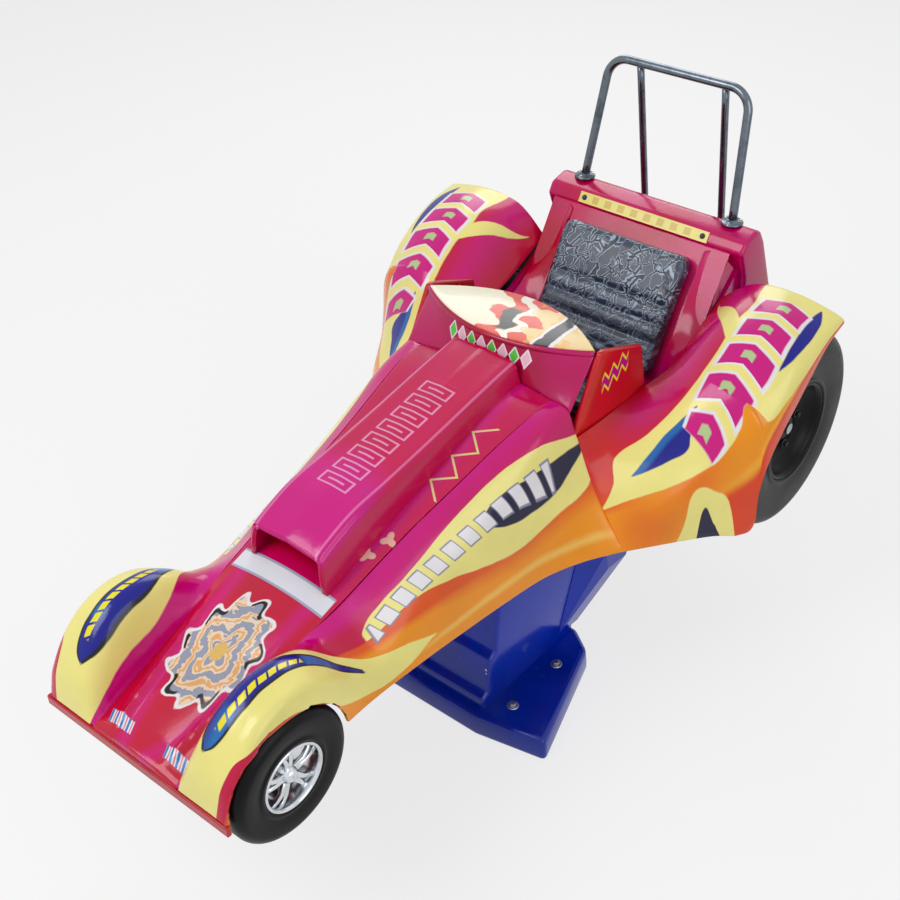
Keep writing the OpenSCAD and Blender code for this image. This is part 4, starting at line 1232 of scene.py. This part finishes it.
class RIDE_OT_cushions(RidePiece, bpy.types.Operator):
    """Builds the back and bottom cushions as padded vinyl that swells under pressure"""

    bl_idname = "ride.cushions"
    bl_label = "Cushions"
    half_w = 168.0
    crease = (470.0, 458.0)
    back_top = (668.0, 766.0)
    top_corner = 26.0
    crease_corner = 14.0
    voxel = 0.006
    pressure = 4.0
    sewn_half_w = 0.0055
    sewn_depth = 0.007

    def build(self):
        look = finishes()
        lean = math.atan2(self.back_top[1] - self.crease[1], self.back_top[0] - self.crease[0])
        run = math.hypot(self.back_top[0] - self.crease[0], self.back_top[1] - self.crease[1])
        turn = Matrix.Translation(metres(0, *self.crease)) @ Matrix.Rotation(lean, 4, "X")
        across = (-self.half_w, self.half_w)
        back = self.pad("seat_back_cushion", across, (56, run - 20), 0.6, 44, turn, look["vinyl"],
                        [0.14, 0.28, 0.42, 0.56])
        base = self.pad("seat_base_cushion", across, (0, 130), 0.4, 40,
                        Matrix.Translation(metres(0, 334, 458)), look["vinyl"], [0.5])
        for piece, node in ((back, "seat_back_pad"), (base, "seat_base_pad")):
            stand_in(piece, "seat_vinyl", node)

    def pad(self, name, xs, ys, foot, tall, turn, material, channels):
        """A pad with rounded corners, swollen by a cloth simulation, then sewn across at its channels."""
        inset = sizes().swell * 0.55 / MM
        low, high = (xs[0] + inset, ys[0] + inset), (xs[1] - inset, ys[1] - inset)
        outline = []
        corner, small = self.top_corner, self.crease_corner
        for cx, cy, start in ((high[0] - corner, low[1] + small, -90), (high[0] - corner, high[1] - corner, 0),
                              (low[0] + corner, high[1] - corner, 90), (low[0] + corner, low[1] + small, 180)):
            r = corner if cy > (low[1] + high[1]) / 2 else small
            side = math.copysign(corner - r, cx)
            for k in range(5):
                a = math.radians(start + 90 * k / 4)
                outline.append((cx + side + r * math.cos(a), cy + r * math.sin(a)))
        built = bmesh.new()
        rings = [[built.verts.new((x * MM, y * MM, h * MM)) for x, y in outline] for h in (foot, tall - inset)]
        capped(built, rings)
        band(built, *rings)
        piece = loose(built, name, material)
        remesh = piece.modifiers.new("even", "REMESH")
        remesh.mode, remesh.voxel_size = "VOXEL", self.voxel
        settle(piece)
        start = [v.co.copy() for v in piece.data.vertices]
        self.swell(piece)
        cap, floor = sizes().swell, foot * MM
        span = (ys[1] - ys[0]) * MM
        for v, was in zip(piece.data.vertices, start):
            move = v.co - was
            if move.length > cap:
                v.co = was + move * (cap / move.length)
            v.co.z = min(max(v.co.z, floor), tall * MM - 0.0002)
            v.co.x = min(max(v.co.x, xs[0] * MM), xs[1] * MM)
            v.co.y = min(max(v.co.y, ys[0] * MM), ys[1] * MM)
            part = (v.co.y - ys[0] * MM) / span
            top = max((v.co.z - floor) / (tall * MM - floor), 0.0)
            sewn = max(math.exp(-((part - c) * span / self.sewn_half_w) ** 2) for c in channels)
            v.co.z -= self.sewn_depth * sewn * top * top
        fine = piece.modifiers.new("fine", "SUBSURF")
        fine.levels = fine.render_levels = 1
        settle(piece)
        piece.data.transform(turn)
        piece.data.shade_smooth()
        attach(piece, "car")
        return piece

    def swell(self, piece):
        """Blows the pad up as cloth under pressure, with no gravity."""
        scene = bpy.context.scene
        cloth = piece.modifiers.new("swell", "CLOTH")
        cloth.settings.use_pressure = True
        cloth.settings.uniform_pressure_force = self.pressure
        cloth.settings.effector_weights.gravity = 0.0
        for step in range(1, 21):
            scene.frame_set(step)
        settle(piece)
        scene.frame_set(1)


class RIDE_OT_pedestal(RidePiece, bpy.types.Operator):
    """Builds the stepped blue pedestal with its feet, flares and floor bolts"""

    bl_idname = "ride.pedestal"
    bl_label = "Pedestal"

    def build(self):
        look = finishes()
        right = [(200, -163), (356, -131), (268, 140), (213, 178)]
        feet = [(-200, -163)] + right + [(-x, y) for x, y in right[:0:-1]]
        foot = prism("pedestal_feet_moulding", feet, "z", 0, 56, look["blue"], "pedestal", 0.012, 5,
                     lambda x, y: (x * 0.985, y * 0.985))
        stand_in(foot, "blue_moulding", "pedestal_foot")
        front = [(-140, 0), (-138, 84), (-118, 90), (-112, 176), (-92, 186), (-82, 300), (345, 300), (345, 215),
                 (330, 165), (176, 58), (176, 0)]
        tower = prism("pedestal_tower_moulding", front, "x", -200, 200, look["blue"], "pedestal", 0.009, 4)
        stand_in(tower, "blue_moulding", "pedestal_tower")
        dress("tower_rim", look["blue"], 0.006, 4)
        for node in ("base_frame", "drive_unit", "pivot_bearing", "chassis", "steering_column"):
            dress(node, look["steel"], 0.0012)
        places = [metres(x, y, 56) for x in (-240, 240) for y in (-90, 60)]
        bolts = studs("floor_bolts", places, (0, 0, 1), 0.0085, 0.006, look["bright"], "pedestal")
        stand_in(bolts, "bright_steel")


class RIDE_OT_steering(RidePiece, bpy.types.Operator):
    """Finishes the steering wheel"""

    bl_idname = "ride.steering"
    bl_label = "Steering wheel"

    def build(self):
        dress("steering_wheel", finishes()["tyre"], 0.0015, 3)


class RIDE_OT_studio(RidePiece, bpy.types.Operator):
    """Builds the pale floor, the soft lights and the camera"""

    bl_idname = "ride.studio"
    bl_label = "Studio"

    def build(self):
        scene = bpy.context.scene
        studio = scene.ride_studio
        camera = bpy.data.objects.new("studio_camera", bpy.data.cameras.new("studio_camera"))
        scene.collection.objects.link(camera)
        camera.data.lens, camera.data.sensor_width = studio.lens, 36.0
        camera.data.clip_end = 60.0
        a, e, r = studio.azimuth, studio.elevation, studio.roll
        back = Vector((math.sin(a) * math.cos(e), -math.cos(a) * math.cos(e), math.sin(e)))
        right = Vector((math.cos(a), math.sin(a), 0.0))
        up = back.cross(right)
        axes = [right * math.cos(r) - up * math.sin(r), right * math.sin(r) + up * math.cos(r), back]
        camera.matrix_world = Matrix.Translation(studio.station) @ Matrix(axes).transposed().to_4x4()
        scene.camera = camera
        mesh = bpy.data.meshes.new("studio_floor")
        mesh.from_pydata([(-14, -14, 0), (14, -14, 0), (14, 14, 0), (-14, 14, 0)], [], [(0, 1, 2, 3)])
        mesh.materials.append(self.floor_finish())
        floor = bpy.data.objects.new("studio_floor", mesh)
        scene.collection.objects.link(floor)
        for name, power, size, place in (("key", studio.key, 2.2, (-1.2, -2.6, 3.6)),
                                         ("fill", studio.key * 0.45, 2.4, (3.2, -0.6, 2.2)),
                                         ("back", studio.key * 0.5, 2.0, (-1.8, 2.8, 3.0))):
            lamp = bpy.data.lights.new("studio_" + name, "AREA")
            lamp.energy, lamp.size, lamp.shape = power, size, "SQUARE"
            light = bpy.data.objects.new("studio_" + name, lamp)
            scene.collection.objects.link(light)
            light.location = place
            light.rotation_euler = (Vector((0, 0, 0.45)) - Vector(place)).to_track_quat("-Z", "Y").to_euler()
        self.sky(scene)
        scene.view_settings.view_transform = "Standard"

    def floor_finish(self):
        """A pale floor that keeps soft shadows and otherwise shows as white."""
        finish = Finish("studio_floor_white")
        rays = finish.node("ShaderNodeLightPath").outputs
        seen = finish.val(rays["Is Camera Ray"]).either(finish.val(rays["Is Glossy Ray"]))
        matt = finish.node("ShaderNodeBsdfDiffuse", None, {"Color": (0.86, 0.86, 0.86, 1)})
        glow = finish.node("ShaderNodeEmission", None, {"Color": (1, 1, 1, 1), "Strength": 1.0})
        mixed = finish.node("ShaderNodeMixShader", None, {0: seen * 0.74, 1: matt.outputs[0], 2: glow.outputs[0]})
        finish.node("ShaderNodeOutputMaterial", None, {0: mixed.outputs[0]})
        return finish.material

    def sky(self, scene):
        world = bpy.data.worlds.new("studio_sky")
        world.use_nodes = True
        scene.world = world
        tree = world.node_tree
        tree.nodes.clear()
        rays = tree.nodes.new("ShaderNodeLightPath")
        seen = Val(tree, rays.outputs["Is Camera Ray"]).either(Val(tree, rays.outputs["Is Transmission Ray"]))
        seen = seen.either(Val(tree, rays.outputs["Is Glossy Ray"]))
        shade = tree.nodes.new("ShaderNodeBackground")
        shade.inputs["Color"].default_value = (1.0, 1.0, 1.0, 1)
        plug(tree, shade.inputs["Strength"], seen * 0.70 + 0.30)
        out = tree.nodes.new("ShaderNodeOutputWorld")
        tree.links.new(shade.outputs[0], out.inputs[0])


PIECES = (RIDE_OT_studio, RIDE_OT_panels, RIDE_OT_hood, RIDE_OT_cowl, RIDE_OT_tub, RIDE_OT_roll_bar, RIDE_OT_wheels,
          RIDE_OT_cushions, RIDE_OT_pedestal, RIDE_OT_steering)


class RIDE_PT_panel(bpy.types.Panel):
    """Lists the pieces of the ride"""

    bl_idname = "RIDE_PT_panel"
    bl_label = "Dragster Ride"
    bl_space_type = "VIEW_3D"
    bl_region_type = "UI"
    bl_category = "Ride"

    def draw(self, context):
        for piece in PIECES:
            self.layout.operator(piece.bl_idname)


CLASSES = (RideSizes, RideColours, StudioSettings) + PIECES + (RIDE_PT_panel,)


def register():
    for each in CLASSES:
        bpy.utils.register_class(each)
    bpy.types.Scene.ride_sizes = bpy.props.PointerProperty(type=RideSizes)
    bpy.types.Scene.ride_colours = bpy.props.PointerProperty(type=RideColours)
    bpy.types.Scene.ride_studio = bpy.props.PointerProperty(type=StudioSettings)


def unregister():
    del bpy.types.Scene.ride_studio, bpy.types.Scene.ride_colours, bpy.types.Scene.ride_sizes
    for each in reversed(CLASSES):
        bpy.utils.unregister_class(each)


def main():
    """Builds every piece in order."""
    register()
    for piece in PIECES:
        group, name = piece.bl_idname.split(".")
        getattr(getattr(bpy.ops, group), name)()


if __name__ == "__main__":
    main()
